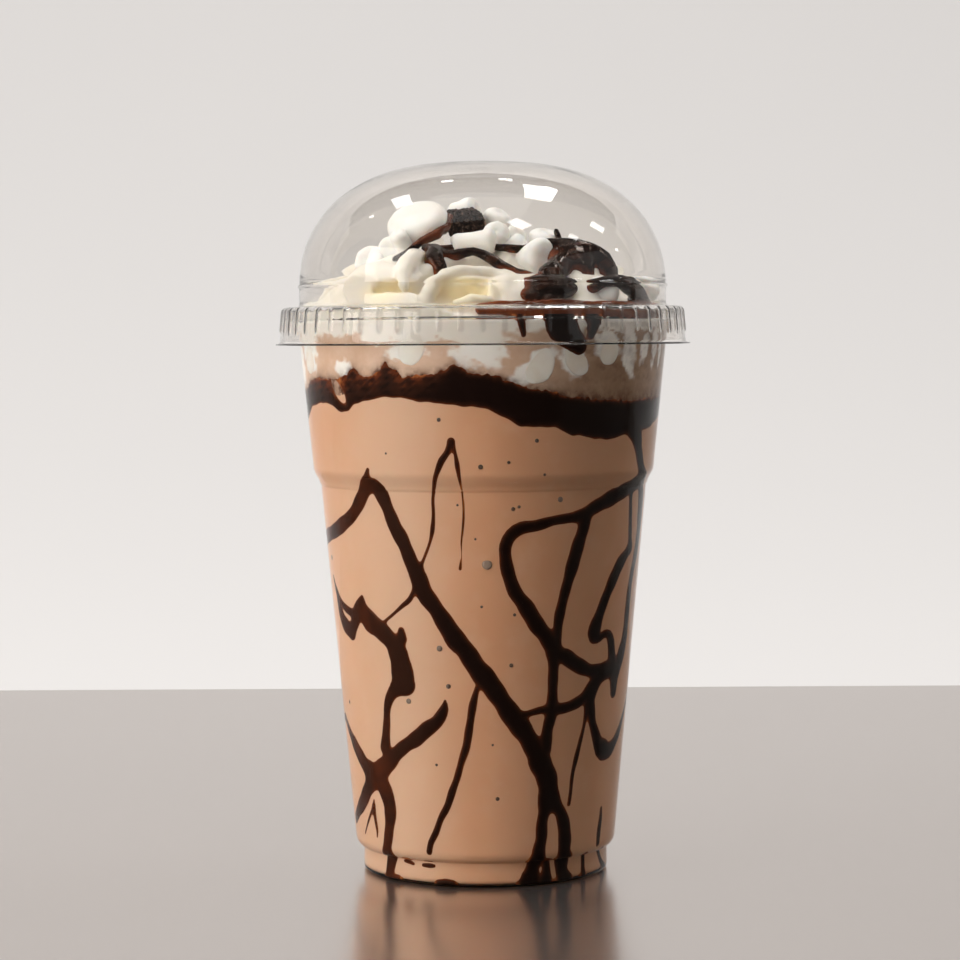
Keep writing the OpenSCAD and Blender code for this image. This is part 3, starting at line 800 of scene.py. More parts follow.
def wall_sauce(name, z_low, z_high, step=0.4):
    """Raised sauce on the drink's skin between two heights, closed by an inner face."""
    a = np.linspace(-180, 180, int(2 * PI * MID_R / step) + 1)
    z = np.arange(z_low, z_high + step * 0.5, step)
    a_grid, z_grid = np.meshgrid(a, z, indexing="ij")
    field = wall_field(a_grid, z_grid)
    field[-1] = field[0]
    raised = 0.30 * (1 - np.exp(-np.maximum(field, 0) / 0.5))
    r = cup_r(z_grid) - SKIN + np.maximum(np.where(field > 0, raised, 0.6 * field), -0.35)
    near = field > -0.45
    keep = near[:-1, :-1] | near[1:, :-1] | near[:-1, 1:] | near[1:, 1:]
    ids = np.arange(a_grid.size).reshape(a_grid.shape)
    ids[-1] = ids[0]
    quads = np.stack([ids[:-1, :-1][keep], ids[1:, :-1][keep], ids[1:, 1:][keep], ids[:-1, 1:][keep]], 1)
    used, flat = np.unique(quads, return_inverse=True)
    quads = flat.reshape(-1, 4)
    ang = np.radians(a_grid.ravel()[used])
    zz = z_grid.ravel()[used]
    outer = turned(r.ravel()[used], ang, zz)
    inner = turned(cup_r(zz) - SKIN - 0.8, ang, zz)
    verts, faces = closed_shell(outer, inner, quads)
    obj = mesh_object(name, verts * MM, faces, WALL_SAUCE)
    depth = np.maximum(field.ravel()[used], 0)
    thin = thinness(a_grid.ravel()[used], zz, depth)
    paint(obj, "thin", np.concatenate([thin, thin]))
    return obj


SPLIT_Z = 98.0  # strands below, the band above
piece(wall_sauce("sauce_band_wall", SPLIT_Z, 136.4), "chocolate_sauce", "sauce_band")
piece(wall_sauce("sauce_strands", 0.8, SPLIT_Z), "chocolate_sauce")

# ---------------------------------------------------------------- cream against the wall

MILK_LOW, MILK_TOP = 114, 134.6
WHITE = [  # (angle, height, half width in degrees, half height, lean)
    (-70, 130, 7, 7, 0), (-84, 126, 6, 9, 0), (-48, 124, 4, 2.2, 0), (-21, 132, 9, 2.4, 0),
    (-24, 127.5, 6, 2.0, 0), (-34, 132, 7, 2.5, 0), (-1, 129, 9, 5.0, 0), (-5, 133, 14, 3.0, 0),
    (16, 124.5, 4.6, 4.6, 1.2), (28, 126, 4, 4.2, -0.4), (40, 129, 5, 3.4, 0), (51, 128, 3.4, 5.5, -0.3),
    (60, 129, 2.4, 4.5, 0.4), (67, 129, 2.4, 4.5, 0), (73, 128, 1.5, 4, 0), (-56, 134, 30, 2.6, 0),
    (100, 130, 9, 4, 0), (122, 127, 5, 4, 0), (140, 130, 10, 4, 0), (162, 128, 6, 4, 0),
    (-175, 130, 9, 4.5, 0), (-150, 128, 6, 3.5, 0), (-128, 130, 9, 4, 0), (-106, 128, 6, 4, 0),
]


def milk_ring(k, r, z, ang):
    """The melted cream's lower edge follows the middle of the band."""
    if z > MILK_TOP + 0.1 or r < TOP_SKIN_R:
        return r + 0 * ang, z + 0 * ang
    high = MILK_TOP - (MILK_TOP - band_middle(ang)) * (MILK_TOP - z) / (MILK_TOP - MILK_LOW)
    return cup_r(high) - SKIN, high


def milk_zone():
    """Melted cream between the band and the rim, with its top just over the rim's inside."""
    profile = [(0, MILK_LOW), (30, MILK_LOW)] + wall_points(np.linspace(MILK_LOW, MILK_TOP, 44), SKIN)
    profile += [(44.6, 135.8), (43.4, 136.6), (38, 137.5), (20, 139), (0, 139)]
    obj = lathe("cream_melted", profile, 288, MILK, milk_ring)
    x, y, z = places(obj).T
    a = np.degrees(np.arctan2(x, -y))
    wave = wobble(a * UNROLL, z, 11, 7)
    ripple = wobble(a * UNROLL, z, 12, 3.2)
    white = np.zeros(len(z))
    for aa, zz, wa, wz, lean in WHITE:
        da = np.mod(a - aa + 180, 360) - 180
        dx = (da - lean * (z - zz)) / wa
        dz = (z - zz) / wz
        outside = np.hypot(dx, dz) - 1 + 0.3 * wave + 0.16 * ripple
        white = np.maximum(white, 1 / (1 + np.exp(outside / 0.13)))
    white = np.maximum(white, np.clip((z - 132.0 + 0.9 * wave) / 1.6, 0, 0.95))
    above = z - eased(BAND_HIGH, np.clip(a, -179.9, 179.9))
    # dark: sauce just above the band, plus painted shade spread wider and in cloudy patches towards the right
    right = np.clip((a - 12) / 20, 0, 1) * (a < 110)
    dark = np.exp(-np.maximum(above + 0.35 * ripple, 0) / (1.0 + 1.1 * right))
    dark = np.maximum(dark, right * np.clip(0.05 + 0.5 * wave - 0.3 * ripple, 0, 0.4))
    paint(obj, "white", white)
    paint(obj, "dark", dark)
    return obj


piece(milk_zone(), "whipped_cream")

# ---------------------------------------------------------------- soft solids from distance fields


class Field:
    """Distances on a grid, in mm, negative inside; shapes are blended softly."""

    def __init__(self, low, high, step):
        self.low = np.array(low, dtype=float)
        self.step = step
        n = np.ceil((np.array(high) - self.low) / step).astype(int) + 1
        self.x, self.y, self.z = np.meshgrid(*[self.low[k] + step * np.arange(n[k]) for k in range(3)],
                                             indexing="ij")
        self.d = np.full(self.x.shape, 50.0)

    def join(self, d, k=0.0):
        """Add a shape, with a fillet of about k."""
        if k <= 0:
            self.d = np.minimum(self.d, d)
        else:
            h = np.clip(0.5 + 0.5 * (self.d - d) / k, 0, 1)
            self.d = self.d * (1 - h) + d * h - k * h * (1 - h)

    def cut(self, d, k):
        """Take a shape away, with a soft edge of about k."""
        h = np.clip(0.5 - 0.5 * (self.d + d) / k, 0, 1)
        self.d = self.d * (1 - h) - d * h + k * h * (1 - h)

    def ball(self, at, r):
        """Ellipsoid with three half sizes."""
        x, y, z = ((grid - at[k]) / r[k] for k, grid in enumerate((self.x, self.y, self.z)))
        return (np.sqrt(x**2 + y**2 + z**2) - 1) * min(r)

    def tube(self, points):
        """Rope through (x, y, z, radius) points."""
        best = np.full(self.x.shape, 50.0)
        for p, q in zip(points[:-1], points[1:]):
            reach = max(p[3], q[3]) + 6
            window = []
            for k in range(3):
                lo = int(max(0, (min(p[k], q[k]) - reach - self.low[k]) / self.step))
                hi = int((max(p[k], q[k]) + reach - self.low[k]) / self.step) + 2
                window.append(slice(lo, max(lo, hi)))
            window = tuple(window)
            x, y, z = self.x[window] - p[0], self.y[window] - p[1], self.z[window] - p[2]
            if x.size == 0:
                continue
            dx, dy, dz = q[0] - p[0], q[1] - p[1], q[2] - p[2]
            t = np.clip((x * dx + y * dy + z * dz) / (dx * dx + dy * dy + dz * dz + 1e-9), 0, 1)
            radius = p[3] * (1 - t) + q[3] * t
            d = np.sqrt((x - t * dx) ** 2 + (y - t * dy) ** 2 + (z - t * dz) ** 2) - radius
            best[window] = np.minimum(best[window], d)
        return best

    def mesh(self, name, material):
        """Surface where the distance is zero, with a vertex in each grid cell that it crosses."""
        f = self.d
        inside = f < 0
        corner = [(i, j, k) for i in (0, 1) for j in (0, 1) for k in (0, 1)]
        shape = [s - 1 for s in f.shape]

        def shifted(array, c):
            return array[c[0]:c[0] + shape[0], c[1]:c[1] + shape[1], c[2]:c[2] + shape[2]]

        count = sum(shifted(inside, c).astype(int) for c in corner)
        active = (count > 0) & (count < 8)
        ids = np.full(shape, -1)
        cells = np.argwhere(active)
        ids[active] = np.arange(len(cells))
        total = np.zeros((len(cells), 3))
        hits = np.zeros(len(cells))
        for a in corner:
            for axis in range(3):
                if a[axis]:
                    continue
                b = list(a)
                b[axis] = 1
                fa = f[tuple((cells + a).T)]
                fb = f[tuple((cells + b).T)]
                hit = (fa < 0) != (fb < 0)
                t = np.where(hit, fa / np.where(hit, fa - fb, 1), 0)
                point = np.tile(np.array(a, dtype=float), (len(cells), 1))
                point[:, axis] += t
                total += point * hit[:, None]
                hits += hit
        verts = self.low + (cells + total / hits[:, None]) * self.step
        faces = []
        for axis in range(3):
            u, v = (axis + 1) % 3, (axis + 2) % 3
            lo = [slice(None)] * 3
            hi = [slice(None)] * 3
            lo[axis], hi[axis] = slice(0, -1), slice(1, None)
            change = inside[tuple(lo)] != inside[tuple(hi)]
            at = np.argwhere(change)
            ok = (at[:, u] > 0) & (at[:, v] > 0) & (at[:, u] < shape[u]) & (at[:, v] < shape[v])
            at = at[ok]
            out = inside[tuple(at.T)]
            du, dv = np.zeros(3, int), np.zeros(3, int)
            du[u], dv[v] = 1, 1
            quad = np.stack([ids[tuple((at - du - dv).T)], ids[tuple((at - dv).T)], ids[tuple(at.T)],
                             ids[tuple((at - du).T)]], 1)
            quad[~out] = quad[~out][:, ::-1]
            faces.append(quad)
        return mesh_object(name, verts * MM, np.concatenate(faces), material)


def sample(field, points):
    """Distance at points in mm, from the nearest grid values."""
    q = np.clip(np.rint((points - field.low) / field.step).astype(int), 0, np.array(field.d.shape) - 1)
    return field.d[tuple(q.T)]


def swirl(start, turn, points):
    """Petal path: (share of the turn, radius, height, thickness) to (x, y, z, thickness)."""
    return [around(start + turn * s, r, z) + (thick,) for s, r, z, thick in points]


PETALS = 10
CREAM_R = 44.1
SHADED_HOLLOWS = [((-4.0, -37, 141.0), (7.5, 7, 4.6)), ((-21.5, -34.5, 141.4), (6.5, 6, 3.4))]  # place and size of each painted warm shade


def cream_top():
    """Ring of petals with ridges on a mound, and at the front a shell arch and a fold."""
    f = Field((-45.5, -45.5, 132), (45.5, 45.5, 160), 0.6)
    r = np.hypot(f.x, f.y)
    base = 138.6 + 10.0 * np.clip(1 - (r / 41) ** 2, 0, 1)
    f.join((f.z - base) * 0.85)
    for k in range(PETALS):
        a = 252 + 360 / PETALS * k + 4 * math.sin(math.radians(137 * k))
        size = 1 + 0.06 * math.sin(math.radians(97 * k + 40))
        petal = swirl(a, 34, [(0, 38.5, 136.5, 4.2 * size), (0.12, 36.5, 139.3, 4.4 * size),
                              (0.28, 31.5, 143.2, 4.8 * size), (0.6, 24, 147, 4.8 * size),
                              (0.85, 15, 148.6, 4.0), (1, 8.5, 149.2, 3.6)])
        f.join(f.tube(petal), 2.4)
        ridge = swirl(a + 8, 34, [(0, 39.5, 138.5, 1.5), (0.12, 38, 141.8, 1.7), (0.28, 33, 146.4, 1.8),
                                  (0.6, 25, 150.2, 1.7), (0.9, 14, 151.8, 1.2)])
        f.join(f.tube(ridge), 2.4)
    # big shell arch at the front with its hollow
    f.join(f.ball((-4.5, -30, 141.0), (9.5, 9, 5.4)), 1.5)
    f.cut(f.ball((10.5, -27, 153.5), (9.5, 10.5, 8.5)), 1.5)
    f.cut(f.ball((-2.0, -26, 155.5), (12, 8, 5.5)), 1.5)
    f.cut(f.ball((-3.0, -42.6, 140.5), (8.2, 6.6, 4.2)), 1.8)
    f.join(f.tube([(-13.4, -40, 138.0, 1.9), (-12.8, -39.3, 141.0, 1.9), (-11.3, -38, 143.2, 1.9),
                   (-8.6, -36, 145.3, 1.8), (-4.9, -34.5, 146.2, 1.6), (-1.1, -33.5, 146.4, 1.4),
                   (1.7, -33, 146.2, 1.3), (4.8, -33, 145.3, 1.3), (8.0, -33.5, 143.8, 1.2)]), 0.9)
    f.join(f.tube([(-6.0, -41.2, 138.8, 1.2), (-3.0, -41.8, 139.6, 1.6), (1.0, -41, 139.4, 1.4)]), 0.7)
    f.join(f.tube([(2.6, -39, 138.8, 1.9), (2.3, -38.6, 141.0, 1.3), (1.8, -38, 143.2, 0.6)]), 0.7)
    # fold to its left
    f.join(f.ball((-24, -27, 142.5), (9, 10, 6.5)), 1.6)
    f.cut(f.ball((-22.0, -41.0, 141.4), (6.5, 6.4, 2.7)), 1.2)
    f.join(f.tube([(-18.3, -39, 143.0, 1.3), (-18.8, -37, 146.0, 1.5), (-17.8, -33, 148.7, 1.6),
                   (-16.3, -29, 150.2, 1.7), (-14.5, -26, 150.5, 1.5)]), 2.0)
    f.join(f.tube([(-25.5, -34.5, 139.4, 1.6), (-21.5, -38, 139.8, 1.9), (-16.5, -39.8, 139.6, 1.8),
                   (-14, -40, 139, 1.4)]), 0.8)
    wave = wobble(f.x + 0.6 * f.z, f.y - 0.4 * f.z, 21, 17) * 0.3
    ripple = wobble(f.x - 0.8 * f.z, f.y + 0.5 * f.z, 22, 6) * 0.08
    f.d = f.d + (wave + ripple)
    f.d = np.maximum(f.d, r - CREAM_R)
    f.d = np.maximum(f.d, HELD_Z - f.z)
    return f


def folded_cream():
    obj = cream_field.mesh("cream_folds", CREAM)
    at = places(obj)
    # painted warm shade in the hollows under the front arch and the fold
    hollow = np.zeros(len(at))
    for middle, size in SHADED_HOLLOWS:
        q = np.sqrt((((at - middle) / size) ** 2).sum(1))
        hollow = np.maximum(hollow, np.clip(1.25 - q, 0, 1) * 1.3)
    paint(obj, "hollow", np.clip(hollow, 0, 1))
    return obj


cream_field = cream_top()
piece(folded_cream(), "whipped_cream", "cream")

# ---------------------------------------------------------------- marshmallows
# (x, y, z, turns about x, y and z, diameter, length), close to the places in the CAD part

MALLOWS = [
    (-15.5, -10, 158.6, 32, -16, 0, 15.2, 6), (-19.5, -16.5, 154.2, 30, -30, 0, 4.5, 5),
    (-21.4, -12, 151.9, 80, -60, 0, 7, 8), (-26.2, -12, 148.6, 60, -40, 0, 8, 8),
    (-4.4, 3, 161.8, 20, 70, 0, 7, 7.5), (3.2, -1, 159, 30, 25, 0, 7, 6.5),
    (3.2, -9, 155.4, 70, 15, 0, 6.8, 6), (-2, -14.5, 153.7, 10, 82, 0, 6.0, 11),
    (7.4, -4, 155.2, 50, 40, 0, 5.5, 5.5), (15, -5, 153.6, 20, 10, 0, 7.8, 7),
    (12.4, -17.6, 149.7, 60, 70, 0, 8.8, 11), (8, -10, 152.5, 10, 60, 0, 6, 6),
    (28, -26, 140.5, 60, 20, 0, 7.5, 8), (39, -8, 141.5, 20, 20, 0, 7, 7.5), (22, 16, 151, 50, 30, 0, 8, 7.5),
    (3, 20, 153.5, 75, 40, 0, 8, 8), (-14, 17, 154, 30, 60, 0, 8.5, 7.5), (-4, 32, 147, 60, 10, 0, 8, 8),
    (-27, 13, 148.5, 40, -50, 0, 8, 7.5), (12.5, -39, 124.5, 90, 0, 18, 8, 8.5),
    (20, -36, 126, 90, 0, 29, 7, 8), (27.5, -30.5, 128, 90, 0, 42, 7.5, 8),
    (-15.5, -38.5, 129, 90, 0, -22, 8, 8), (-38.5, -14, 126.5, 90, 0, -70, 7.5, 8),
]
FIRST_WET = 20  # from this number on they are pressed to the wall
WET_LEAN = {20: 0.35, 21: -0.4, 22: 0.1, 23: 0.2, 24: 0.1}
DIMPLE = 0.25  # how far the ends sink in


def marshmallow_profile(r, h, e):
    """Cylinder of radius r and half height h with rounded edges e, pulled in at the waist."""
    straight = h - e
    steps = (0.35, 0.7, 1.0)
    low = [(t * (r - e), -h + DIMPLE * (1 - t) ** 2) for t in steps]
    high = [(t * (r - e), h - DIMPLE * (1 - t) ** 2) for t in steps[::-1]]
    waist = [(r - 0.06 * straight, -0.6 * straight), (r - 0.09 * straight, 0),
             (r - 0.06 * straight, 0.6 * straight)]
    out = [(0, -h + DIMPLE)] + low + arc(r - e, -h + e, e, -70, 0, 6)
    return out + waist + arc(r - e, h - e, e, 0, 70, 6) + high + [(0, h - DIMPLE)]


def marshmallow(number, x, y, z, tx, ty, tz, d, length):
    """Uneven marshmallow; the large first one is rounder, the wet ones squashed against the wall."""
    r, h = d / 2, length / 2
    e = 2.9 if number == 1 else min(2.0, 0.55 * r, 0.55 * h)
    rough = 0.4 if number == 1 else 1.0
    wet = number >= FIRST_WET
    profile = marshmallow_profile(r, h, e)
    obj = lathe(f"marshmallow_{number:02d}_soft", profile, 40, WET_MALLOW if wet else MALLOW)
    turn = Euler((math.radians(tx), math.radians(ty), math.radians(tz)), "XYZ").to_matrix()
    lean = WET_LEAN.get(number, 0)
    for v in obj.data.vertices:
        p = v.co / MM
        if wet:
            p.x = p.x * (0.86 - 0.05 * p.y) + lean * p.y
            p.y *= 1.12
        q = p * 0.22 + Vector((3.7 * number, 1.3 * number, 0))
        lumps = [noise.noise(q * 2.2 + Vector(shift)) for shift in ((9, 0, 0), (0, 9, 0), (0, 0, 9))]
        p = p * (1 + 0.05 * rough * noise.noise(q)) + rough * Vector(lumps) * 0.18
        p = turn @ p + Vector((x, y, z))
        if p.z < HELD_Z:
            limit = float(cup_r(p.z)) - SKIN + 0.03
            flat = math.hypot(p.x, p.y)
            if flat > limit:
                p.x *= limit / flat
                p.y *= limit / flat
        v.co = p * MM
    obj.data.update()
    return obj


for number, row in enumerate(MALLOWS, 1):
    piece(marshmallow(number, *row), "marshmallow", f"marshmallow_{number}")


# ---------------------------------------------------------------- brownie cube


BROWNIE_AT = (-4, -5, 159)
BROWNIE_HALF = (3.5, 2.7, 2.8)


def brownie():
    """Rough cube with one corner broken off."""
    f = Field((-12, -12, 152), (4, 3, 167), 0.22)
    turn = Euler((math.radians(8), math.radians(-6), math.radians(14)), "XYZ").to_matrix().inverted()
    p = (np.stack([f.x, f.y, f.z], -1) - BROWNIE_AT) @ np.array(turn).T
    q = np.abs(p) - BROWNIE_HALF
    box = np.linalg.norm(np.maximum(q, 0), axis=-1) + np.minimum(q.max(-1), 0) - 0.3
    corner = (p[..., 0] * 0.7 + p[..., 2] * 0.75) - 3.9
    f.join(np.maximum(box, corner))
    obj = f.mesh("brownie_cube", BROWNIE)
    for v in obj.data.vertices:
        c = v.co / MM
        v.co += v.normal * MM * (0.45 * noise.noise(c * 0.9) + 0.5 * noise.noise(c * 2.1))
    obj.data.update()
    return obj


piece(brownie(), "brownie", "brownie_chunk")

# ---------------------------------------------------------------- thick sauce on the top

TOP_STRANDS = [  # (x, y, z, radius)
    # front rope with its hanging drop
    [(-11.4, -25.5, 151.6, 1.7), (-11.4, -29, 149.2, 2.4), (-10.2, -31, 147.0, 1.9)],
    [(-13.4, -22.5, 152.2, 1.1), (-12.0, -24.5, 151.7, 1.5), (-10.1, -26, 150.6, 1.7),
     (-7.5, -27, 150.0, 1.4), (-4.9, -27, 150.8, 1.2), (-2.3, -27, 151.3, 1.1), (0.3, -27.5, 150.4, 1.15),
     (2.9, -28.5, 148.8, 1.3), (5.5, -29.5, 147.2, 1.3), (8.1, -30.8, 145.8, 1.4), (12.3, -32.2, 144.7, 1.6)],
    # back rope, over the crown and down on the right
    [(-10, -17, 152.2, 0.9), (-6, -15, 152.6, 0.8), (-1.6, -15.5, 152.6, 0.8), (3, -16, 152.6, 0.9),
     (6.6, -17, 152.2, 1.0), (9.9, -18, 152, 1.1), (12.6, -19, 152.9, 1.3), (15.7, -19.5, 153.1, 1.6),
     (19, -19.5, 152.6, 2.0), (22.4, -19.5, 152.1, 2.3), (25.7, -19.5, 151.4, 2.2), (28.8, -20, 149.5, 2.0),
     (30.4, -21, 146.6, 2.0), (30.8, -23, 143.9, 1.7)],
    # wet strand under the big marshmallow, up to the brownie
    [(-20.9, -22.5, 149.6, 0.7), (-17.8, -22, 151.1, 1.0), (-14.5, -20, 153.9, 1.0), (-10.8, -17, 155.8, 1.2),
     (-8.7, -13, 157.6, 1.2), (-7.9, -10.5, 160.2, 1.1)],
    # lobe on the right with its rim
    [(24.1, -31, 140.2, 1.3), (25.6, -30.4, 142.2, 1.3), (28.4, -29.4, 143.9, 1.3), (31.6, -27.8, 144.2, 1.6),
     (34.4, -25.4, 143.0, 2.1), (36.8, -22, 140.8, 2.1), (38.3, -19, 138.7, 1.6)],
    [(18.4, -24, 147.5, 3.0), (15.9, -29, 144.9, 3.4)],
    [(17.9, -8.5, 156.6, 0.6), (18.7, -8.8, 154.4, 0.7), (17.5, -10.5, 152.8, 0.9)],
]
# smear round the inside of the lid's collar: (angle, radius)
SMEAR = [(-1, 1.1), (6, 1.65), (14, 1.98), (24, 2.09), (34, 1.87), (44, 1.65), (54, 1.87), (63, 1.54),
         (72, 0.99)]
POOLS = [  # middle, half sizes
    ((21.4, -20, 149.3), (5.5, 5, 3.6)), ((23.7, -21, 146.6), (5, 5, 4)),
    ((18.3, -20.5, 149.4), (3.0, 3.2, 2.9)),
    ((14.6, -33.5, 142.2), (7.3, 5.5, 3.3)), ((10.5, -37, 140.2), (3.5, 3.5, 2.0)),
]
BACK_STRANDS = [  # (x, y, radius), laid on the cream
    [(2, 10, 1.0), (-3, 13, 1.1), (-7, 18, 1.2), (-8, 24, 1.1), (-12, 29, 1.3), (-17, 33, 1.6),
     (-19, 36, 1.8)],
    [(14, 6, 0.9), (19, 9, 1.1), (24, 10, 1.3), (29, 13, 1.5), (33, 18, 1.4), (35, 22, 1.7)],
]


def laid(route):
    """Rope points resting on the cream."""
    out = []
    for x, y, r in route:
        z = np.arange(160, 136, -0.3)
        d = sample(cream_field, np.stack([x + 0 * z, y + 0 * z, z], 1))
        out.append((x, y, float(z[np.argmax(d < 0)]) + 0.4 * r, r))
    return out


def top_sauce():
    """Ropes, pools and smear, joined softly and kept inside the lid."""
    f = Field((-24, -46, 130), (45, 39, 163), 0.4)
    for route in TOP_STRANDS + [laid(route) for route in BACK_STRANDS]:
        f.join(f.tube(route), 1.0)
    for middle, size in POOLS:
        f.join(f.ball(middle, size), 1.3)
    f.cut(f.ball((27.3, -25.5, 147.5), (1.1, 3.5, 3.6)), 0.5)
    f.join(f.tube([around(a, 43.7, 137.5 + 0.4 * math.sin(a * 0.3)) + (r,) for a, r in SMEAR]), 0.8)
    f.join(f.tube([(14.5, -36, 140.2, 2.4), (16, -39.5, 138.0, 2.0), (16.5, -40.5, 135, 2.0)]), 1.0)
    f.join(f.tube([(36, -20, 139.6, 1.6), (38.5, -19.5, 138, 1.2)]), 0.8)
    f.d = f.d + wobble(f.x + 0.5 * f.z, f.y - 0.6 * f.z, 31, 7) * 0.16
    limit = np.where(f.z < 138, np.minimum(cup_r(np.minimum(f.z, HELD_Z)) - SKIN, 44.7), 44.4)
    f.d = np.maximum(f.d, np.hypot(f.x, f.y) - limit)
    return f


def sauce_ropes():
    obj = top_sauce().mesh("sauce_ropes", SAUCE)
    at = places(obj)
    x, y, z = at.T
    thin = np.clip(1 - (sample(cream_field, at) - 0.2) / 1.0, 0, 1) * 0.9
    to_pool = np.hypot(np.hypot(x - 16.5, y + 22.5), z - 149.5)
    thin = np.maximum(thin, np.clip(1.25 - to_pool / 3.2, 0, 1))
    thin = np.maximum(thin, 0.45 * np.clip(wobble(x, y + z, 51, 8), 0, 1))
    thin = np.maximum(thin, 0.65 * ((x < -7) & (z > 153)))
    at_collar = (np.hypot(x, y) > 41) * (z > 135)
    paint(obj, "thin", np.maximum(thin, np.clip((140.4 - z) / 1.2, 0, 1.0) * at_collar))
    return obj


piece(sauce_ropes(), "chocolate_sauce", "chocolate_sauce")

# ---------------------------------------------------------------- bubbles and specks at the wall

DOTS = [  # (angle, height, radius)
    (1, 78, 1.25), (-17, 58, 0.75), (-31, 45, 0.7), (-14, 112, 0.5), (-1, 101, 0.6), (17, 107, 0.5),
    (8, 102, 0.4), (10, 91, 0.5), (12, 91.5, 0.4), (27, 93, 0.7), (10, 54, 0.5), (-14, 49, 0.6), (5, 22, 0.5),
    (-1, 68, 0.35), (11, 66, 0.4), (-33, 104, 0.3), (-9, 92, 0.3), (3, 35, 0.3), (-20, 30, 0.35),
    (-3, 84, 0.3), (20, 99, 0.35),
]
BACK_DOTS = 26  # scattered round the back
DOT_RINGS, DOT_SEGMENTS = 5, 14
DOT_DEPTH = 0.16  # how far a dot stands out


def dot_points(angle, z, size):
    """Flat lens on the drink's skin."""
    middle = Vector(around(angle, float(cup_r(z)) - SKIN, z))
    out = Vector((middle.x, middle.y, 0)).normalized()
    side = Vector((-out.y, out.x, 0))
    up = Vector((0, 0, 1))
    for i in range(DOT_RINGS + 1):
        q = PI * i / DOT_RINGS
        for j in range(DOT_SEGMENTS):
            w = 2 * PI * j / DOT_SEGMENTS
            flat = (side * math.cos(w) + up * math.sin(w)) * size * math.sin(q)
            yield (middle + flat + out * DOT_DEPTH * math.cos(q)) * MM


def wall_dots():
    """Bubbles and specks, listed at the front and scattered at the back."""
    rng = np.random.default_rng(5)
    angles, heights = rng.uniform(75, 290, BACK_DOTS), rng.uniform(12, 106, BACK_DOTS)
    sizes = rng.choice([0.3, 0.4, 0.5, 0.7, 1.0], BACK_DOTS)
    dots = DOTS + [(float(a), float(z), float(s)) for a, z, s in zip(angles, heights, sizes)]
    verts, faces = [], []
    for dot in dots:
        base = len(verts)
        verts += dot_points(*dot)
        for i in range(DOT_RINGS):
            low, high = base + i * DOT_SEGMENTS, base + (i + 1) * DOT_SEGMENTS
            for j in range(DOT_SEGMENTS):
                k = (j + 1) % DOT_SEGMENTS
                faces.append([low + j, low + k, high + k, high + j])
    obj = mesh_object("wall_bubbles", verts, faces, BUBBLE)
    shades = [0.1 if size > 1 else 0.4 if size > 0.65 else 0.8 for _, _, size in dots]
    paint(obj, "dark", np.repeat(shades, len(verts) // len(dots)))
    return obj


piece(wall_dots(), "chocolate_shake")

# ---------------------------------------------------------------- floor, backdrop and light


def plain(name, scale, light, dark, **values):
    """Even surface that clouds softly between two close colours."""
    m = Nodes(name)
    m.set(Base_Color=m.mix(m.noise(scale, 2), light, dark), **values)
    return m.mat


FLOOR_EDGE = 0.35  # where the table ends behind the cup
floor = mesh_object("floor", [(-3, -2, 0), (3, -2, 0), (3, FLOOR_EDGE, 0), (-3, FLOOR_EDGE, 0)], [[0, 1, 2, 3]],
                    plain("floor_look", 5, (0.60, 0.55, 0.52, 1), (0.64, 0.59, 0.56, 1),
                          Metallic=0.9, Roughness=0.22), smooth=False)

BACKDROP_PLAN = [(-2.8, 1.0), (-1.9, 1.6), (1.9, 1.6), (2.8, 1.0)]
PALE = (0.86, 0.83, 0.81)
wall = mesh_object("backdrop", [(x, y, z) for z in (-1.5, 1.9) for x, y in BACKDROP_PLAN],
                   [[k, k + 1, k + 5, k + 4] for k in range(3)],
                   plain("backdrop_look", 6, PALE + (1,), tuple(0.985 * c for c in PALE) + (1,),
                         Roughness=0.9), smooth=False)

lamps = [
    area("key", (-1.35, -0.80, 0.55), (0, 0, 0.09), (1.1, 0.9), 15.6, (1.0, 0.985, 0.965)),
    area("fill", (1.2, -1.6, 0.9), (0, 0, 0.08), (1.0, 1.0), 3.0, (1.0, 0.94, 0.88)),
    area("top", (0, -0.2, 1.6), (0, 0, 0.1), (1.0, 1.0), 4),
    area("wall_high", (0, 0.6, 2.6), (0, 1.6, 0.6), (4.8, 0.5), 54),
    area("wall_low", (0, 0.75, -0.9), (0, 1.6, 0.2), (4.8, 0.5), 30),
]
for lamp in lamps:
    lamp.visible_glossy = False
    lamp.visible_transmission = lamp.name in ("key", "top")

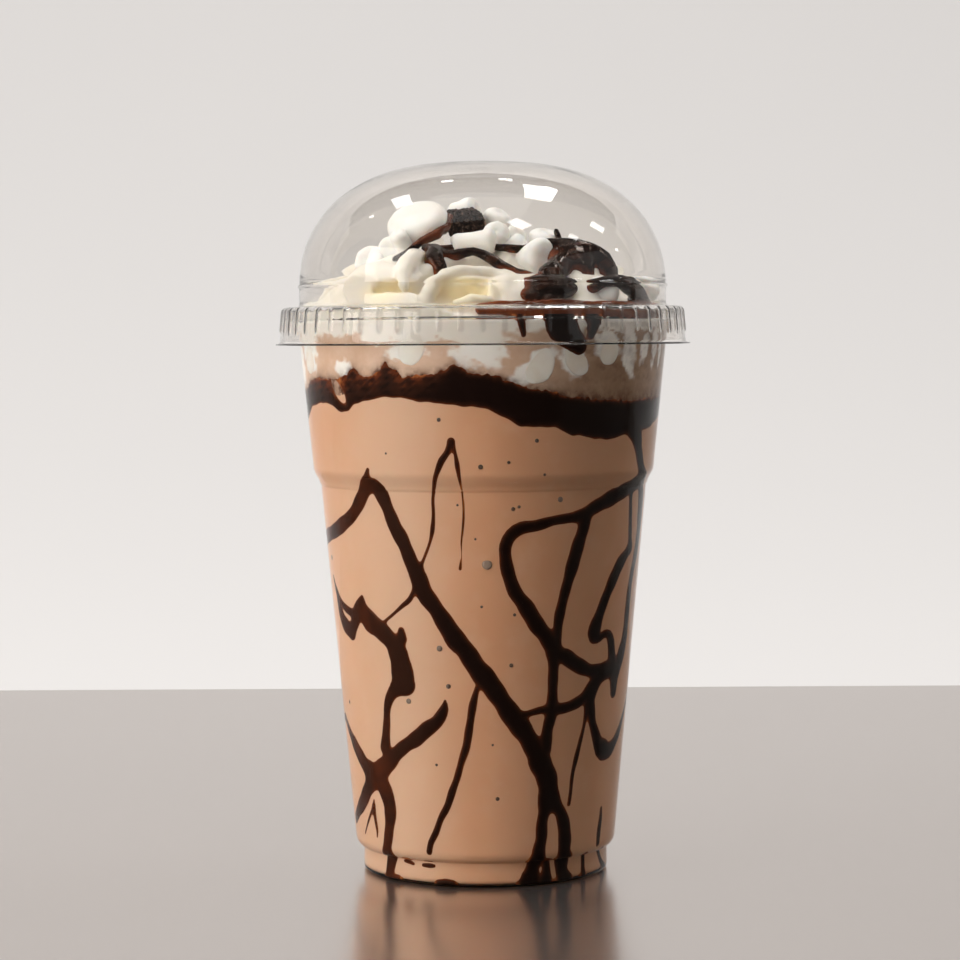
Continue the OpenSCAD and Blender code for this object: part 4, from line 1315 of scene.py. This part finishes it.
DOME_MIDDLE = (0, -0.03, 0.155)
PANEL_AWAY = 1.6
PANELS = [  # name, direction from the dome, direction of its length, size in metres, glow
    ("panel_a", (0.30, 0.30, 0.87), (0.10, -0.40, 0.10), (0.29, 0.56), 7.7),
    ("side_a", (-0.95, -0.20, 0.05), (0, 0, 1), (1.6, 1.2), 0.25),
    ("side_b", (0.95, -0.20, 0.05), (0, 0, 1), (1.6, 1.2), 0.25),
    ("panel_b", (-0.45, 0.26, 0.83), (-0.10, -0.30, 0.08), (0.20, 0.40), 5.5),
    ("panel_c", (0.32, -0.43, 0.84), (0.19, -0.09, -0.12), (0.24, 0.30), 7.7),
    ("panel_d", (0.77, 0.14, 0.62), (0.09, 0.06, -0.12), (0.16, 0.22), 7.7),
    ("panel_e", (0.75, -0.26, 0.61), (0.10, 0.05, -0.10), (0.12, 0.16), 6.6),
    ("panel_f", (-0.14, 0.53, 0.84), (1, 0, 0), (0.06, 0.08), 8.8),
    ("panel_g", (0.09, 0.55, 0.83), (1, 0, 0), (0.06, 0.08), 8.8),
    ("panel_h", (0.30, 0.47, 0.83), (1, 0, 0), (0.05, 0.07), 7.7),
    ("panel_i", (-0.67, 0.26, 0.70), (1, 0, 0), (0.06, 0.06), 7.7),
    ("panel_j", (0.92, 0.15, 0.36), (0, 1, 0), (0.06, 0.06), 7.7),
]


def panel(name, toward, along, size, glow):
    """Soft bright panel that shows only as a highlight, not as light on matt things."""
    z = Vector(toward).normalized()
    y = Vector(along)
    y = (y - z * y.dot(z)).normalized()
    x = y.cross(z)
    obj = area(name, (0, 0, 1), (0, 0, 0), size, glow * PI * size[0] * size[1])
    obj.matrix_world = Matrix((x, y, z)).transposed().to_4x4()
    obj.location = Vector(DOME_MIDDLE) + z * PANEL_AWAY
    obj.visible_diffuse = False
    obj.visible_volume_scatter = False


for row in PANELS:
    panel(*row)

world = bpy.data.worlds.new("world")
bpy.context.scene.world = world
world.use_nodes = True
background = world.node_tree.nodes["Background"]
background.inputs["Color"].default_value = (0.065, 0.062, 0.058, 1)
background.inputs["Strength"].default_value = 1.0

bpy.context.scene.view_settings.view_transform = "Standard"
